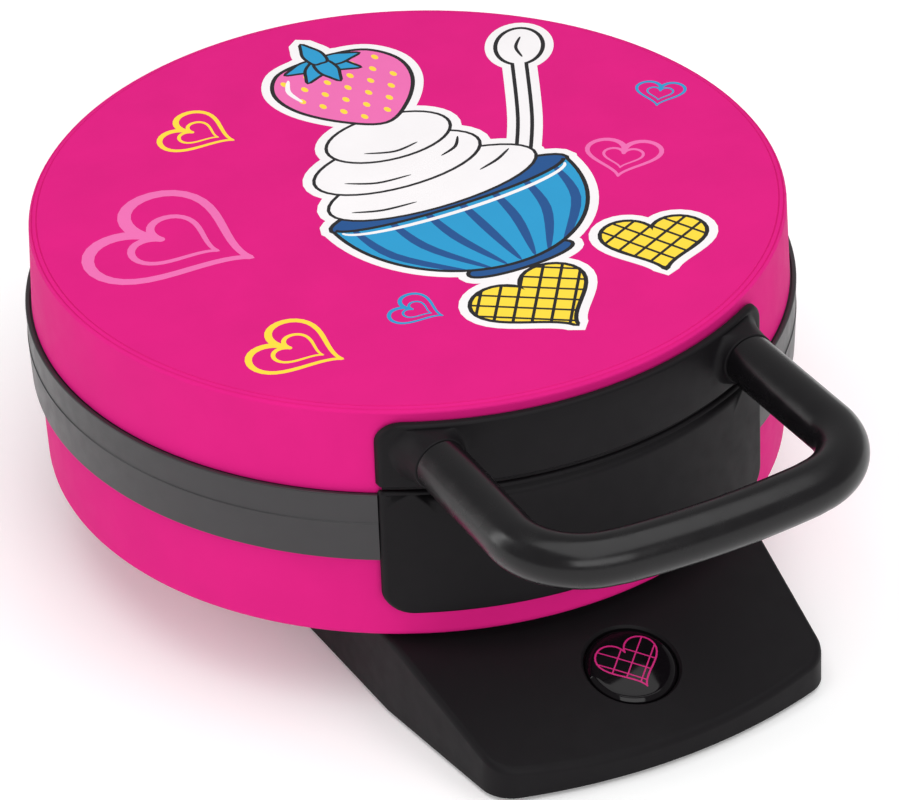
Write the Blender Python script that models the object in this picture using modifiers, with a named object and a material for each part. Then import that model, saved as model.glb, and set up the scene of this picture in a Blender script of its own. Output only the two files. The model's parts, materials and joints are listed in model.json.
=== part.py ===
"""Round countertop waffle maker: a drum on a wedge-shaped console, with a lid that swings up on a
rear hinge and a U-shaped front handle.

Metres, +Z up. The floor is z = 0, the handle points to -Y and the hinge is at the rear. The sub-parts
are drawn about the drum's axis, which stands DRUM_Y behind the origin, so that the origin is the
middle of the whole object's footprint.
"""
import math

import bmesh
import bpy
from mathutils import Matrix, Vector

# ---------------------------------------------------------------- driving dimensions (metres)
GAP = 0.0003                # clearance between neighbouring solids
ROUND = 36                  # segments of the drum's turned pieces
SMALL_ROUND = 8             # segments of screws and small holes

DRUM_R = 0.0950             # lid radius at its lower edge
LID_TOP_R = 0.09425         # lid radius below the rounded top edge
LID_TOP_Z = 0.0907
LID_BOTTOM_Z = 0.0673
LID_EDGE_R = 0.0026         # rounding of the lid's top edge
WALL = 0.0022               # moulded wall thickness

BAND_TOP_Z = 0.0669
BAND_BOTTOM_Z = 0.0485
BAND_TOP_R = 0.0966
BAND_BOTTOM_R = 0.0961
BAND_INNER_R = 0.0924
LIP_TOP_Z = 0.0677          # raised lip round the band's outer edge, outside the lid's wall
LIP_INNER_R = 0.0959

SHELL_TOP_R = 0.0943
SHELL_BOTTOM_R = 0.0934
SHELL_TOP_Z = BAND_BOTTOM_Z - GAP
SHELL_BOTTOM_Z = 0.0240
SHELL_EDGE_R = 0.0020

PLATE_R = 0.0842            # cooking plate flange
PLATE_FLANGE = 0.0030
BOWL_R = 0.0773             # mouth of the recessed cooking area
BOWL_FLOOR_R = 0.0750
BOWL_DEPTH = 0.0070
PLATE_THICK = 0.0030
GRID_PITCH = 0.0175
GRID_ROOT = 0.0115          # block width at the floor of the plate
GRID_TIP = 0.0092           # block width at its tip
GRID_HEIGHT = 0.0042
LOWER_RIM_Z = 0.0666        # upper face of the lower plate's flange
UPPER_RIM_Z = 0.0675        # lower face of the upper plate's flange
SEAT_INNER_R = 0.0802       # ledge that carries the plate flange
SEAT_R = 0.0846
SEAT_BACK_R = 0.0868
SEAT_THICK = 0.0020

ELEMENT_R = 0.0500          # heating element loop
ELEMENT_TUBE_R = 0.0031
STRAP_THICK = 0.0010
REFLECTOR_THICK = 0.0006
STACK_BOSS_R = 0.0045

FRONT_R = 0.0972            # outer face of the front bracket and cover
FRONT_HALF_W = 0.0530
BRACKET_TOP_Z = 0.0893
BRACKET_BOTTOM_Z = 0.0702
BRACKET_CORNER_R = 0.0058
BRACKET_SKIRT_R = 0.0962    # recessed lower lip of the bracket
COVER_BOTTOM_Z = 0.0334
COVER_TOP_Z = 0.0690
COVER_CORNER_R = 0.0062
COVER_TOP_CORNER_R = 0.0020
COVER_INNER_R = 0.0950
COVER_LIP_INNER_R = 0.0958  # thinner above the lid's lower edge, which it clears

HANDLE_Z = 0.0802
HANDLE_TUBE_R = 0.0066
HANDLE_ROOT_X = 0.04255
HANDLE_ROOT_Y = -0.0933     # where the bosses end and the tube starts
HANDLE_CORNER_X = 0.0439
HANDLE_CORNER_Y = -0.1446
HANDLE_BEND_R = 0.0190
HANDLE_BOW = 0.0047         # how far the grip bows forward of its corners

CONSOLE_BOTTOM_Z = 0.0012
CONSOLE_TOP_Z = SHELL_BOTTOM_Z - GAP
CONSOLE_HALF_W = 0.0512
CONSOLE_BEND_Y = -0.0768
CONSOLE_FRONT_HALF_W = 0.0467
CONSOLE_FRONT_Y = -0.1226
CONSOLE_FRONT_BOW = 0.00815
CONSOLE_FRONT_TOP_Z = 0.0098
CONSOLE_SLOPE = 0.31
CONSOLE_REAR_Y = 0.0800
CONSOLE_CORNER_R = 0.0090
CONSOLE_WALL = 0.0024
CONSOLE_EDGE_R = 0.0017

PAN_Z = 0.0020              # underside of the bottom cover
PAN_TOP_Z = 0.0040
BASE_SCREW_X = 0.0380
BASE_SCREW_YS = (-0.0600, 0.0580)
FOOT_R = 0.0065
FOOT_XY = ((0.0360, -0.1040), (0.0400, 0.0690))

LENS_Y = -0.1075
LENS_R = 0.0114
GLAND_Z = 0.0120
GLAND_HOLE_R = 0.0036
TERMINAL_Y = 0.0500
WIRE_HOLE_XY = (0.0180, 0.0300)

HINGE_Y = 0.1050
HINGE_Z = 0.0660
HINGE_PIN_R = 0.0020
HINGE_BORE_R = 0.0022
KNUCKLE_R = 0.0065
KNUCKLE_X = (0.0102, 0.0172)
EAR_R = 0.0068
EAR_X = (0.0175, 0.0245)
HINGE_BACK_Y = 0.1150
LEAD_R = 0.0019
LEAD_X = 0.0050

POST_AZIMUTHS = (0.0, 120.0, -120.0)        # degrees from the front, lid and housing screws
PLATE_SCREW_AZIMUTHS = (60.0, 180.0, -60.0)
PLATE_SCREW_RADIUS = 0.0822
LID_SCREW_RADIUS = 0.0880
HOUSING_SCREW_RADIUS = 0.0865

HANDLE_FRONT_Y = HANDLE_CORNER_Y - HANDLE_BOW - HANDLE_TUBE_R
DRUM_Y = -(HANDLE_FRONT_Y + HINGE_BACK_Y) / 2
LENS_TILT = math.atan(CONSOLE_SLOPE)

# ---------------------------------------------------------------- colours: base colour, roughness, metallic
FINISHES = {
    "magenta_plastic": ((0.80, 0.023, 0.258), 0.38, 0.0),
    "band_plastic": ((0.050, 0.050, 0.055), 0.45, 0.0),
    "black_plastic": ((0.016, 0.016, 0.018), 0.50, 0.0),
    "handle_plastic": ((0.020, 0.020, 0.022), 0.38, 0.0),
    "nonstick_aluminium": ((0.045, 0.045, 0.048), 0.42, 0.6),
    "element_steel": ((0.33, 0.32, 0.31), 0.40, 1.0),
    "bright_aluminium": ((0.80, 0.80, 0.81), 0.30, 1.0),
    "screw_steel": ((0.62, 0.62, 0.64), 0.30, 1.0),
    "foot_rubber": ((0.030, 0.030, 0.032), 0.80, 0.0),
    "lens_plastic": ((0.010, 0.008, 0.010), 0.08, 0.0),
    "lamp_glass": ((0.90, 0.45, 0.40), 0.10, 0.0),
    "white_plastic": ((0.82, 0.81, 0.77), 0.50, 0.0),
    "sleeve_fibre": ((0.060, 0.058, 0.055), 0.85, 0.0),
}


# ---------------------------------------------------------------- scene, collections and materials
def clear_scene():
    for obj in list(bpy.data.objects):
        bpy.data.objects.remove(obj)


def new_collection(name):
    collection = bpy.data.collections.new(name)
    bpy.context.scene.collection.children.link(collection)
    return collection


def make_materials():
    made = {}
    for name, (colour, roughness, metallic) in FINISHES.items():
        material = bpy.data.materials.new(name)
        material.use_nodes = True
        shader = material.node_tree.nodes["Principled BSDF"]
        shader.inputs["Base Color"].default_value = (*colour, 1.0)
        shader.inputs["Roughness"].default_value = roughness
        shader.inputs["Metallic"].default_value = metallic
        made[name] = material
    return made


clear_scene()
PARTS = new_collection("waffle_maker")
CUTTERS = new_collection("cutters")
MATERIALS = make_materials()


def at(x, y, z):
    """A place given about the drum's axis, in world coordinates."""
    return Vector((x, y + DRUM_Y, z))


def around(azimuth_deg, radius, z):
    """A place on a circle about the drum's axis; azimuth 0 is the front."""
    angle = math.radians(azimuth_deg)
    return at(radius * math.sin(angle), -radius * math.cos(angle), z)


def adopt(obj, name, finish=None):
    """Name an object and file it as a part, or as a cutter when it has no finish."""
    obj.name = name
    obj.data.name = name
    for collection in list(obj.users_collection):
        collection.objects.unlink(obj)
    if finish:
        PARTS.objects.link(obj)
        obj.data.materials.clear()
        obj.data.materials.append(MATERIALS[finish])
    else:
        CUTTERS.objects.link(obj)
        obj.hide_render = True
        obj.display_type = "WIRE"
    return obj


# ---------------------------------------------------------------- shapes
def turned(name, profile, finish=None, closed=False, segments=ROUND, place=None, rotation=None):
    """Turn (radius, height) points about Z. The profile runs down its outer side."""
    count = len(profile)
    edges = [(i, i + 1) for i in range(count - 1)]
    if closed:
        edges.append((count - 1, 0))
    mesh = bpy.data.meshes.new(name)
    mesh.from_pydata([(radius, 0.0, height) for radius, height in profile], edges, [])
    obj = bpy.data.objects.new(name, mesh)
    obj.location = at(0, 0, 0) if place is None else place
    if rotation:
        obj.rotation_euler = rotation
    adopt(obj, name, finish)
    screw = obj.modifiers.new("turn", "SCREW")
    screw.axis = "Z"
    screw.steps = segments
    screw.render_steps = segments
    screw.use_merge_vertices = True
    screw.merge_threshold = 0.00001
    return obj


def box(name, low, high, finish=None, place=None, rotation=None):
    """A box between two corners, about the drum's axis unless a place is given."""
    low = Vector(low)
    high = Vector(high)
    bpy.ops.mesh.primitive_cube_add(size=1.0)
    obj = bpy.context.object
    size = high - low
    obj.data.transform(Matrix.Translation((low + high) / 2) @ Matrix.Diagonal((*size, 1.0)))
    obj.location = at(0, 0, 0) if place is None else place
    if rotation:
        obj.rotation_euler = rotation
    return adopt(obj, name, finish)


AXIS_TURN = {"X": (0, math.pi / 2, 0), "Y": (math.pi / 2, 0, 0), "Z": (0, 0, 0)}


def rod(name, radius, start, end, axis, centre, finish=None, segments=SMALL_ROUND, tip_radius=None):
    """A round bar along an axis from start to end; centre holds the two other coordinates."""
    tip = radius if tip_radius is None else tip_radius
    bpy.ops.mesh.primitive_cone_add(vertices=segments, radius1=radius, radius2=tip, depth=end - start)
    obj = bpy.context.object
    middle = (start + end) / 2
    places = {"X": (middle, *centre), "Y": (centre[0], middle, centre[1]), "Z": (*centre, middle)}
    obj.location = at(*places[axis])
    obj.rotation_euler = AXIS_TURN[axis]
    return adopt(obj, name, finish)


def mesh_from_curve(curve_obj, name, finish=None):
    """Turn a curve object into a closed mesh with welded caps."""
    bpy.context.view_layer.update()
    evaluated = curve_obj.evaluated_get(bpy.context.evaluated_depsgraph_get())
    mesh = bpy.data.meshes.new_from_object(evaluated)
    work = bmesh.new()
    work.from_mesh(mesh)
    bmesh.ops.remove_doubles(work, verts=work.verts, dist=0.000001)
    work.to_mesh(mesh)
    work.free()
    obj = bpy.data.objects.new(name, mesh)
    obj.matrix_world = curve_obj.matrix_world
    bpy.data.objects.remove(curve_obj)
    return adopt(obj, name, finish)


def prism(name, outline, half_depth, matrix, finish=None):
    """A flat outline in the local XY plane, thickened along local Z and placed by a matrix."""
    curve = bpy.data.curves.new(name, "CURVE")
    curve.dimensions = "2D"
    curve.fill_mode = "BOTH"
    curve.extrude = half_depth
    spline = curve.splines.new("POLY")
    spline.points.add(len(outline) - 1)
    for point, (x, y) in zip(spline.points, outline):
        point.co = (x, y, 0.0, 1.0)
    spline.use_cyclic_u = True
    obj = bpy.data.objects.new(name, curve)
    bpy.context.scene.collection.objects.link(obj)
    obj.matrix_world = matrix
    return mesh_from_curve(obj, name, finish)


def flat_prism(name, outline, low_z, high_z, finish=None):
    """An (x, y) outline about the drum's axis, standing from low_z to high_z."""
    matrix = Matrix.Translation(at(0, 0, (low_z + high_z) / 2))
    return prism(name, outline, (high_z - low_z) / 2, matrix, finish)


def tube(name, points, radius, finish, sides_level=2):
    """A round wire or tube through world points, closed at both ends."""
    curve = bpy.data.curves.new(name, "CURVE")
    curve.dimensions = "3D"
    curve.bevel_depth = radius
    curve.bevel_resolution = sides_level
    curve.use_fill_caps = True
    spline = curve.splines.new("POLY")
    spline.points.add(len(points) - 1)
    for point, place in zip(spline.points, points):
        point.co = (*place, 1.0)
    obj = bpy.data.objects.new(name, curve)
    bpy.context.scene.collection.objects.link(obj)
    return mesh_from_curve(obj, name, finish)


def boolean(obj, other, operation):
    modifier = obj.modifiers.new(operation.lower(), "BOOLEAN")
    modifier.operation = operation
    modifier.object = other
    modifier.solver = "EXACT"
    return obj


def cut(obj, *others):
    for other in others:
        boolean(obj, other, "DIFFERENCE")
    return obj


def join(obj, *others):
    for other in others:
        boolean(obj, other, "UNION")
    return obj


def keep_inside(obj, other):
    return boolean(obj, other, "INTERSECT")


def arc(centre, radius, start_deg, end_deg, steps):
    """Points of a circular arc in a plane, both ends included."""
    points = []
    for step in range(steps + 1):
        angle = math.radians(start_deg + (end_deg - start_deg) * step / steps)
        points.append((centre[0] + radius * math.cos(angle), centre[1] + radius * math.sin(angle)))
    return points


def rounded_rectangle(half_width, low, high, low_corner, high_corner):
    """A rectangle centred on x = 0 with its own corner radius at the bottom and at the top."""
    outline = []
    outline += arc((half_width - low_corner, low + low_corner), low_corner, -90, 0, 4)
    outline += arc((half_width - high_corner, high - high_corner), high_corner, 0, 90, 4)
    outline += arc((high_corner - half_width, high - high_corner), high_corner, 90, 180, 4)
    outline += arc((low_corner - half_width, low + low_corner), low_corner, 180, 270, 4)
    return outline


def smooth_path(places, steps):
    """A Catmull-Rom curve through the places, with a number of steps between each pair."""
    knots = [Vector(place) for place in places]
    knots = [2 * knots[0] - knots[1]] + knots + [2 * knots[-1] - knots[-2]]
    points = []
    for before, start, end, after in zip(knots, knots[1:], knots[2:], knots[3:]):
        for step in range(steps):
            t = step / steps
            bend = (2 * start + (end - before) * t
                    + (2 * before - 5 * start + 4 * end - after) * t * t
                    + (3 * start - before - 3 * end + after) * t * t * t)
            points.append(bend / 2)
    points.append(knots[-2])
    return points


def posts(prefix, azimuths, ring_r, post_r, low, high, segments=SMALL_ROUND):
    """Upright rods of one size on a circle about the drum's axis."""
    made = []
    for index, azimuth in enumerate(azimuths):
        angle = math.radians(azimuth)
        centre = (ring_r * math.sin(angle), -ring_r * math.cos(angle))
        made.append(rod(f"{prefix}_{index}", post_r, low, high, "Z", centre, segments=segments))
    return made


def base_posts(prefix, post_r, low, high, segments=SMALL_ROUND):
    """Upright rods of one size at the four screws that hold the console to the drum."""
    made = []
    for side in (-1, 1):
        for index, y in enumerate(BASE_SCREW_YS):
            centre = (side * BASE_SCREW_X, y)
            made.append(rod(f"{prefix}_{side}_{index}", post_r, low, high, "Z", centre, segments=segments))
    return made


def bolt(name, head_r, head_h, shank_r, length, place, rotation=(0, 0, 0)):
    """A screw whose shank points along local +Z; its head lies below local z = 0."""
    profile = [(0.0, length), (shank_r, length - shank_r), (shank_r, 0.0),
               (head_r, 0.0), (head_r * 0.9, -head_h), (0.0, -head_h)]
    return turned(name, profile, "screw_steel", segments=SMALL_ROUND, place=place, rotation=rotation)


# ---------------------------------------------------------------- lid
def lid_profile():
    """Outside of the lid from the crown down, then back up its inside."""
    crown_z = LID_TOP_Z + 0.0005
    edge_z = LID_TOP_Z - LID_EDGE_R
    edge = arc((LID_TOP_R - LID_EDGE_R, edge_z), LID_EDGE_R, 90, 0, 2)
    inner_top = LID_TOP_Z - WALL - GAP
    outside = [(0.0, crown_z)] + edge + [(DRUM_R, LID_BOTTOM_Z)]
    inside = [(DRUM_R - WALL, LID_BOTTOM_Z), (LID_TOP_R - WALL, inner_top - 0.0015),
              (LID_TOP_R - WALL - 0.0015, inner_top), (0.0, inner_top + 0.0005)]
    return outside + inside


def lid_shell():
    shell = turned("lid_shell", lid_profile(), "magenta_plastic")
    join(shell, *posts("lid_post", POST_AZIMUTHS, LID_SCREW_RADIUS, 0.0032, 0.0731, 0.0890))
    for side in (-1, 1):
        boss = rod(f"lid_handle_boss_{side}", 0.0050, -0.0870, -0.0790, "Y",
                   (side * HANDLE_ROOT_X, HANDLE_Z), segments=12)
        keep_inside(boss, rod(f"lid_boss_trim_{side}", 0.0935, 0.06, 0.10, "Z", (0, 0), segments=ROUND))
        join(shell, boss)
    cut(shell, *posts("lid_post_hole", POST_AZIMUTHS, LID_SCREW_RADIUS, 0.0018, 0.0700, 0.0830))
    for side in (-1, 1):
        cut(shell, rod(f"lid_handle_hole_{side}", 0.0023, -0.1000, -0.0700, "Y",
                       (side * HANDLE_ROOT_X, HANDLE_Z)))
        cut(shell, rod(f"lid_hinge_hole_{side}", 0.0018, 0.0800, 0.1000, "Y", (side * 0.0130, 0.0800)))
    return cut(shell, rod("lid_lead_hole", 0.0029, 0.0800, 0.1000, "Y", (LEAD_X, 0.0793)))


def lid_rim_ring():
    """Heat-resistant ring inside the lid that carries the upper plate."""
    seat_z = UPPER_RIM_Z + PLATE_FLANGE + GAP
    outer = DRUM_R - WALL - 0.0005
    back_z = seat_z + SEAT_THICK
    profile = [(outer, 0.0712), (outer, UPPER_RIM_Z), (SEAT_R, UPPER_RIM_Z), (SEAT_R, seat_z),
               (SEAT_INNER_R, seat_z), (SEAT_INNER_R, back_z), (SEAT_BACK_R, back_z), (SEAT_BACK_R, 0.0712)]
    ring = turned("lid_rim_ring", profile, "black_plastic", closed=True)
    cut(ring, *posts("lid_ring_bore", POST_AZIMUTHS, LID_SCREW_RADIUS, 0.0018, 0.0660, 0.0760))
    cut(ring, *posts("lid_ring_counterbore", POST_AZIMUTHS, LID_SCREW_RADIUS, 0.0030, 0.0660, 0.0698))
    seat_bores = posts("lid_seat_bore", PLATE_SCREW_AZIMUTHS, PLATE_SCREW_RADIUS, 0.0017, 0.0690, 0.0750)
    return cut(ring, *seat_bores)


def front_panel(name, low, high, low_corner, high_corner, inner_r, finish):
    """A curved panel on the drum's front: a rounded rectangle cut from a cylindrical wall."""
    outline = rounded_rectangle(FRONT_HALF_W, low, high, low_corner, high_corner)
    stand = Matrix.Translation(at(0, -0.085, 0)) @ Matrix.Rotation(math.pi / 2, 4, "X")
    panel = prism(name, outline, 0.025, stand, finish)
    keep_inside(panel, rod(f"{name}_face", FRONT_R, 0.02, 0.11, "Z", (0, 0), segments=96))
    back = rod(f"{name}_back", inner_r, 0.01, 0.12, "Z", (0, 0), segments=96)
    return panel, back


def handle_bracket():
    """Upper front panel, on the lid, with the two bosses that the handle is screwed to."""
    bracket, back = front_panel("handle_bracket", BRACKET_BOTTOM_Z, BRACKET_TOP_Z, 0.0010,
                                BRACKET_CORNER_R, DRUM_R + GAP, "black_plastic")
    flare = [(0.0, 0.0), (HANDLE_TUBE_R + 0.0003, 0.0), (HANDLE_TUBE_R + 0.0004, -0.0028),
             (HANDLE_TUBE_R + 0.0010, -0.0052), (HANDLE_TUBE_R + 0.0022, -0.0076),
             (HANDLE_TUBE_R + 0.0030, -0.0093), (0.0, -0.0093)]
    for side in (-1, 1):
        root = at(side * HANDLE_ROOT_X, HANDLE_ROOT_Y, HANDLE_Z)
        join(bracket, turned(f"bracket_boss_{side}", flare, segments=16, place=root,
                             rotation=(math.pi / 2, 0, 0)))
    skirt_x = FRONT_HALF_W - 0.0008
    skirt = box("bracket_skirt", (-skirt_x, -0.1000, COVER_TOP_Z + GAP), (skirt_x, -0.0700, 0.0710))
    keep_inside(skirt, rod("bracket_skirt_face", BRACKET_SKIRT_R, 0.02, 0.11, "Z", (0, 0), segments=96))
    join(bracket, skirt)
    cut(bracket, back)
    for side in (-1, 1):
        cut(bracket, rod(f"bracket_hole_{side}", 0.0024, -0.1000, -0.0700, "Y",
                         (side * HANDLE_ROOT_X, HANDLE_Z)))
    return bracket


def handle_path():
    """Centreline of the handle from the left boss to the right one."""
    bow_r = (HANDLE_CORNER_X ** 2 + HANDLE_BOW ** 2) / (2 * HANDLE_BOW)
    bow_y = HANDLE_CORNER_Y - HANDLE_BOW + bow_r
    root = Vector((-HANDLE_ROOT_X, HANDLE_ROOT_Y - GAP))
    corner = Vector((-HANDLE_CORNER_X, HANDLE_CORNER_Y))
    leg = (corner - root).normalized()
    slope = math.asin(HANDLE_CORNER_X / bow_r)
    turn = leg.angle(Vector((math.cos(slope), -math.sin(slope))))
    reach = HANDLE_BEND_R * math.tan(turn / 2)
    handle_arm = HANDLE_BEND_R * math.tan(turn / 4) * 4 / 3
    leave = slope - reach / bow_r
    start = corner - leg * reach
    end = Vector((-bow_r * math.sin(leave), bow_y - bow_r * math.cos(leave)))
    start_arm = start + leg * handle_arm
    end_arm = end - Vector((math.cos(leave), -math.sin(leave))) * handle_arm
    half = [root]
    for step in range(9):
        t = step / 8
        s = 1 - t
        half.append(start * s ** 3 + start_arm * 3 * s * s * t + end_arm * 3 * s * t * t + end * t ** 3)
    for step in range(1, 5):
        angle = leave * (1 - step / 4)
        half.append(Vector((-bow_r * math.sin(angle), bow_y - bow_r * math.cos(angle))))
    other_half = [Vector((-point.x, point.y)) for point in reversed(half[:-1])]
    return [at(point.x, point.y, HANDLE_Z) for point in half + other_half]


def handle():
    bar = tube("handle", handle_path(), HANDLE_TUBE_R, "handle_plastic", sides_level=4)
    for side in (-1, 1):
        cut(bar, rod(f"handle_insert_{side}", 0.0024, -0.1085, -0.0900, "Y",
                     (side * HANDLE_ROOT_X, HANDLE_Z)))
    return bar


def handle_screws():
    for side, word in ((-1, "left"), (1, "right")):
        place = at(side * HANDLE_ROOT_X, -0.0787, HANDLE_Z)
        bolt(f"handle_screw_{word}", 0.0038, 0.0021, 0.0020, 0.0283, place, (math.pi / 2, 0, 0))


# ---------------------------------------------------------------- cooking plates and heaters
def grid_blocks(name, floor_z, direction):
    """Tapered blocks that press the waffle's pockets, wherever a whole one fits the round cooking area."""
    work = bmesh.new()
    reach = (1, 3, 5, 7)
    for column in [side * step for step in reach for side in (-1, 1)]:
        for row in [side * step for step in reach for side in (-1, 1)]:
            if column ** 2 + row ** 2 > 64:
                continue
            block = bmesh.ops.create_cube(work, size=1.0)["verts"]
            for vert in block:
                tip = vert.co.z > 0
                width = GRID_TIP if tip else GRID_ROOT
                height = GRID_HEIGHT if tip else -0.0010
                vert.co = Vector((column * GRID_PITCH / 2 + vert.co.x * width,
                                  row * GRID_PITCH / 2 + vert.co.y * width,
                                  floor_z + direction * height))
    if direction < 0:
        bmesh.ops.reverse_faces(work, faces=work.faces)
    mesh = bpy.data.meshes.new(name)
    work.to_mesh(mesh)
    work.free()
    obj = bpy.data.objects.new(name, mesh)
    obj.location = at(0, 0, 0)
    return adopt(obj, name)


def cooking_plate(name, rim_z, direction):
    """Cast plate: direction 1 opens upward (lower plate), -1 opens downward (upper plate)."""
    def level(depth):
        return rim_z - direction * depth

    back = BOWL_DEPTH + PLATE_THICK
    boss = back + GAP + 2 * ELEMENT_TUBE_R
    profile = [(0.0, level(BOWL_DEPTH)), (BOWL_FLOOR_R, level(BOWL_DEPTH)), (BOWL_R, level(0)),
               (PLATE_R, level(0)), (PLATE_R, level(PLATE_FLANGE)), (0.0798, level(PLATE_FLANGE)),
               (0.0785, level(back)), (0.0, level(back))]
    if direction < 0:
        profile.reverse()
    plate = turned(name, profile, "nonstick_aluminium")
    low, high = sorted((level(boss), level(back - 0.0010)))
    join(plate, rod(f"{name}_stack_boss", STACK_BOSS_R, low, high, "Z", (0, 0), segments=12))
    join(plate, grid_blocks(f"{name}_grid", level(BOWL_DEPTH), direction))
    low, high = sorted((level(boss + 0.001), level(back - 0.0010)))
    cut(plate, rod(f"{name}_stack_hole", 0.0018, low, high, "Z", (0, 0)))
    for index, azimuth in enumerate(PLATE_SCREW_AZIMUTHS):
        spot = around(azimuth, PLATE_SCREW_RADIUS, 0)
        low, high = sorted((level(PLATE_FLANGE + 0.001), level(0.0009)))
        cut(plate, rod(f"{name}_hole_{index}", 0.0016, low, high, "Z", (spot.x, spot.y - DRUM_Y)))
    return plate


def plate_screws(prefix, rim_z, direction):
    """Three screws that pull the plate's flange onto its seat, driven from the hidden side."""
    head_z = rim_z - direction * (PLATE_FLANGE + SEAT_THICK + 3 * GAP)
    turn = (0, 0, 0) if direction > 0 else (math.pi, 0, 0)
    for index, azimuth in enumerate(PLATE_SCREW_AZIMUTHS):
        bolt(f"{prefix}_plate_screw_{index + 1}", 0.0024, 0.0016, 0.0013, 0.0045,
             around(azimuth, PLATE_SCREW_RADIUS, head_z), turn)


def heating_element(name, z):
    """Open tubular loop whose two cold ends turn inward at the rear."""
    gap_deg = 14
    steps = 22
    ring = []
    for step in range(steps + 1):
        angle = math.radians(90 + gap_deg + (360 - 2 * gap_deg) * step / steps)
        ring.append((ELEMENT_R * math.cos(angle), ELEMENT_R * math.sin(angle)))
    elbow = [(ring[0][0] + 0.0034, ring[0][1] - 0.0010), (ring[0][0] + 0.0052, ring[0][1] - 0.0044),
             (ring[0][0] + 0.0056, ring[0][1] - 0.0090), (ring[0][0] + 0.0056, ring[0][1] - 0.0150)]
    start = list(reversed(elbow))
    end = [(-x, y) for x, y in elbow]
    path = [at(x, y, z) for x, y in start + ring + end]
    return tube(name, path, ELEMENT_TUBE_R, "element_steel")


def element_strap(name, face_z, direction):
    """Bar across the element with a lip at each end that keeps the loop from creeping out."""
    low, high = sorted((face_z, face_z - direction * STRAP_THICK))
    reach = ELEMENT_R + ELEMENT_TUBE_R + 0.0017
    strap = box(name, (-reach, -0.006, low), (reach, 0.006, high), "bright_aluminium")
    for side in (-1, 1):
        near, far = sorted((side * (reach - 0.0011), side * reach))
        lip_low, lip_high = sorted((face_z - direction * STRAP_THICK * 0.5, face_z + direction * 0.0040))
        join(strap, box(f"{name}_lip_{side}", (near, -0.0045, lip_low), (far, 0.0045, lip_high)))
    return cut(strap, rod(f"{name}_hole", 0.0019, low - 0.003, high + 0.003, "Z", (0, 0)))


def heat_reflector(name, face_z, direction):
    """Thin dished sheet behind the element."""
    def level(depth):
        return face_z - direction * depth

    rise = -0.0060
    profile = [(0.0742, level(rise)), (0.0663, level(REFLECTOR_THICK)), (0.0020, level(REFLECTOR_THICK)),
               (0.0020, level(0)), (0.0660, level(0)), (0.0736, level(rise - REFLECTOR_THICK * 0.5))]
    if direction < 0:
        profile.reverse()
    return turned(name, profile, "bright_aluminium", closed=True, segments=40)


def heater_stack(prefix, rim_z, direction):
    """Plate, element, strap, reflector and the screw that holds them together."""
    cooking_plate(f"{prefix}_plate", rim_z, direction)
    plate_screws(prefix, rim_z, direction)
    back_z = rim_z - direction * (BOWL_DEPTH + PLATE_THICK)
    heating_element(f"{prefix}_element", back_z - direction * (GAP + ELEMENT_TUBE_R))
    strap_z = back_z - direction * (2 * GAP + 2 * ELEMENT_TUBE_R)
    element_strap(f"{prefix}_element_strap", strap_z, direction)
    reflector_z = strap_z - direction * (STRAP_THICK + GAP)
    reflector = heat_reflector(f"{prefix}_reflector", reflector_z, direction)
    head_z = reflector_z - direction * (REFLECTOR_THICK + GAP)
    turn = (0, 0, 0) if direction > 0 else (math.pi, 0, 0)
    bolt(f"{prefix}_strap_screw", 0.0030, 0.0013, 0.0015, 0.0072, at(0, 0, head_z), turn)
    return reflector


def lid_screws():
    for index, azimuth in enumerate(POST_AZIMUTHS):
        bolt(f"lid_screw_{index + 1}", 0.0025, 0.0013, 0.0015, 0.0125,
             around(azimuth, LID_SCREW_RADIUS, 0.0695))


# ---------------------------------------------------------------- base
def rim_ring():
    """Dark heat-resistant band: an outer skirt, a deck, the plate's seat and a spigot for the shell."""
    seat_z = LOWER_RIM_Z - PLATE_FLANGE - GAP
    deck_z = seat_z + GAP
    profile = [(BAND_TOP_R, LIP_TOP_Z), (BAND_BOTTOM_R, BAND_BOTTOM_Z), (0.0915, BAND_BOTTOM_Z),
               (0.0915, 0.0430), (0.0894, 0.0430), (0.0894, 0.0510), (BAND_INNER_R, 0.0510),
               (BAND_INNER_R, deck_z), (SEAT_BACK_R, deck_z), (SEAT_BACK_R, seat_z - SEAT_THICK),
               (SEAT_INNER_R, seat_z - SEAT_THICK), (SEAT_INNER_R, seat_z), (SEAT_R, seat_z),
               (SEAT_R, BAND_TOP_Z), (LIP_INNER_R, BAND_TOP_Z), (LIP_INNER_R, LIP_TOP_Z)]
    ring = turned("rim_ring", profile, "band_plastic", closed=True)
    join(ring, *posts("housing_post", POST_AZIMUTHS, HOUSING_SCREW_RADIUS, 0.0030, 0.0288, 0.0625))
    cut(ring, *posts("housing_post_hole", POST_AZIMUTHS, HOUSING_SCREW_RADIUS, 0.0018, 0.0270, 0.0450))
    cut(ring, *posts("seat_bore", PLATE_SCREW_AZIMUTHS, PLATE_SCREW_RADIUS, 0.0017, 0.0600, 0.0650))
    notch_x = FRONT_HALF_W + 0.0006
    notch = box("cover_notch", (-notch_x, -0.1100, 0.0470), (notch_x, -0.0600, 0.0700))
    cut(notch, rod("cover_notch_core", COVER_INNER_R - 0.0004, 0.02, 0.11, "Z", (0, 0), segments=96))
    cut(ring, notch)
    return cut(ring, rod("rim_lead_hole", 0.0031, 0.0800, 0.1100, "Y", (-LEAD_X, 0.0570)))


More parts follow.
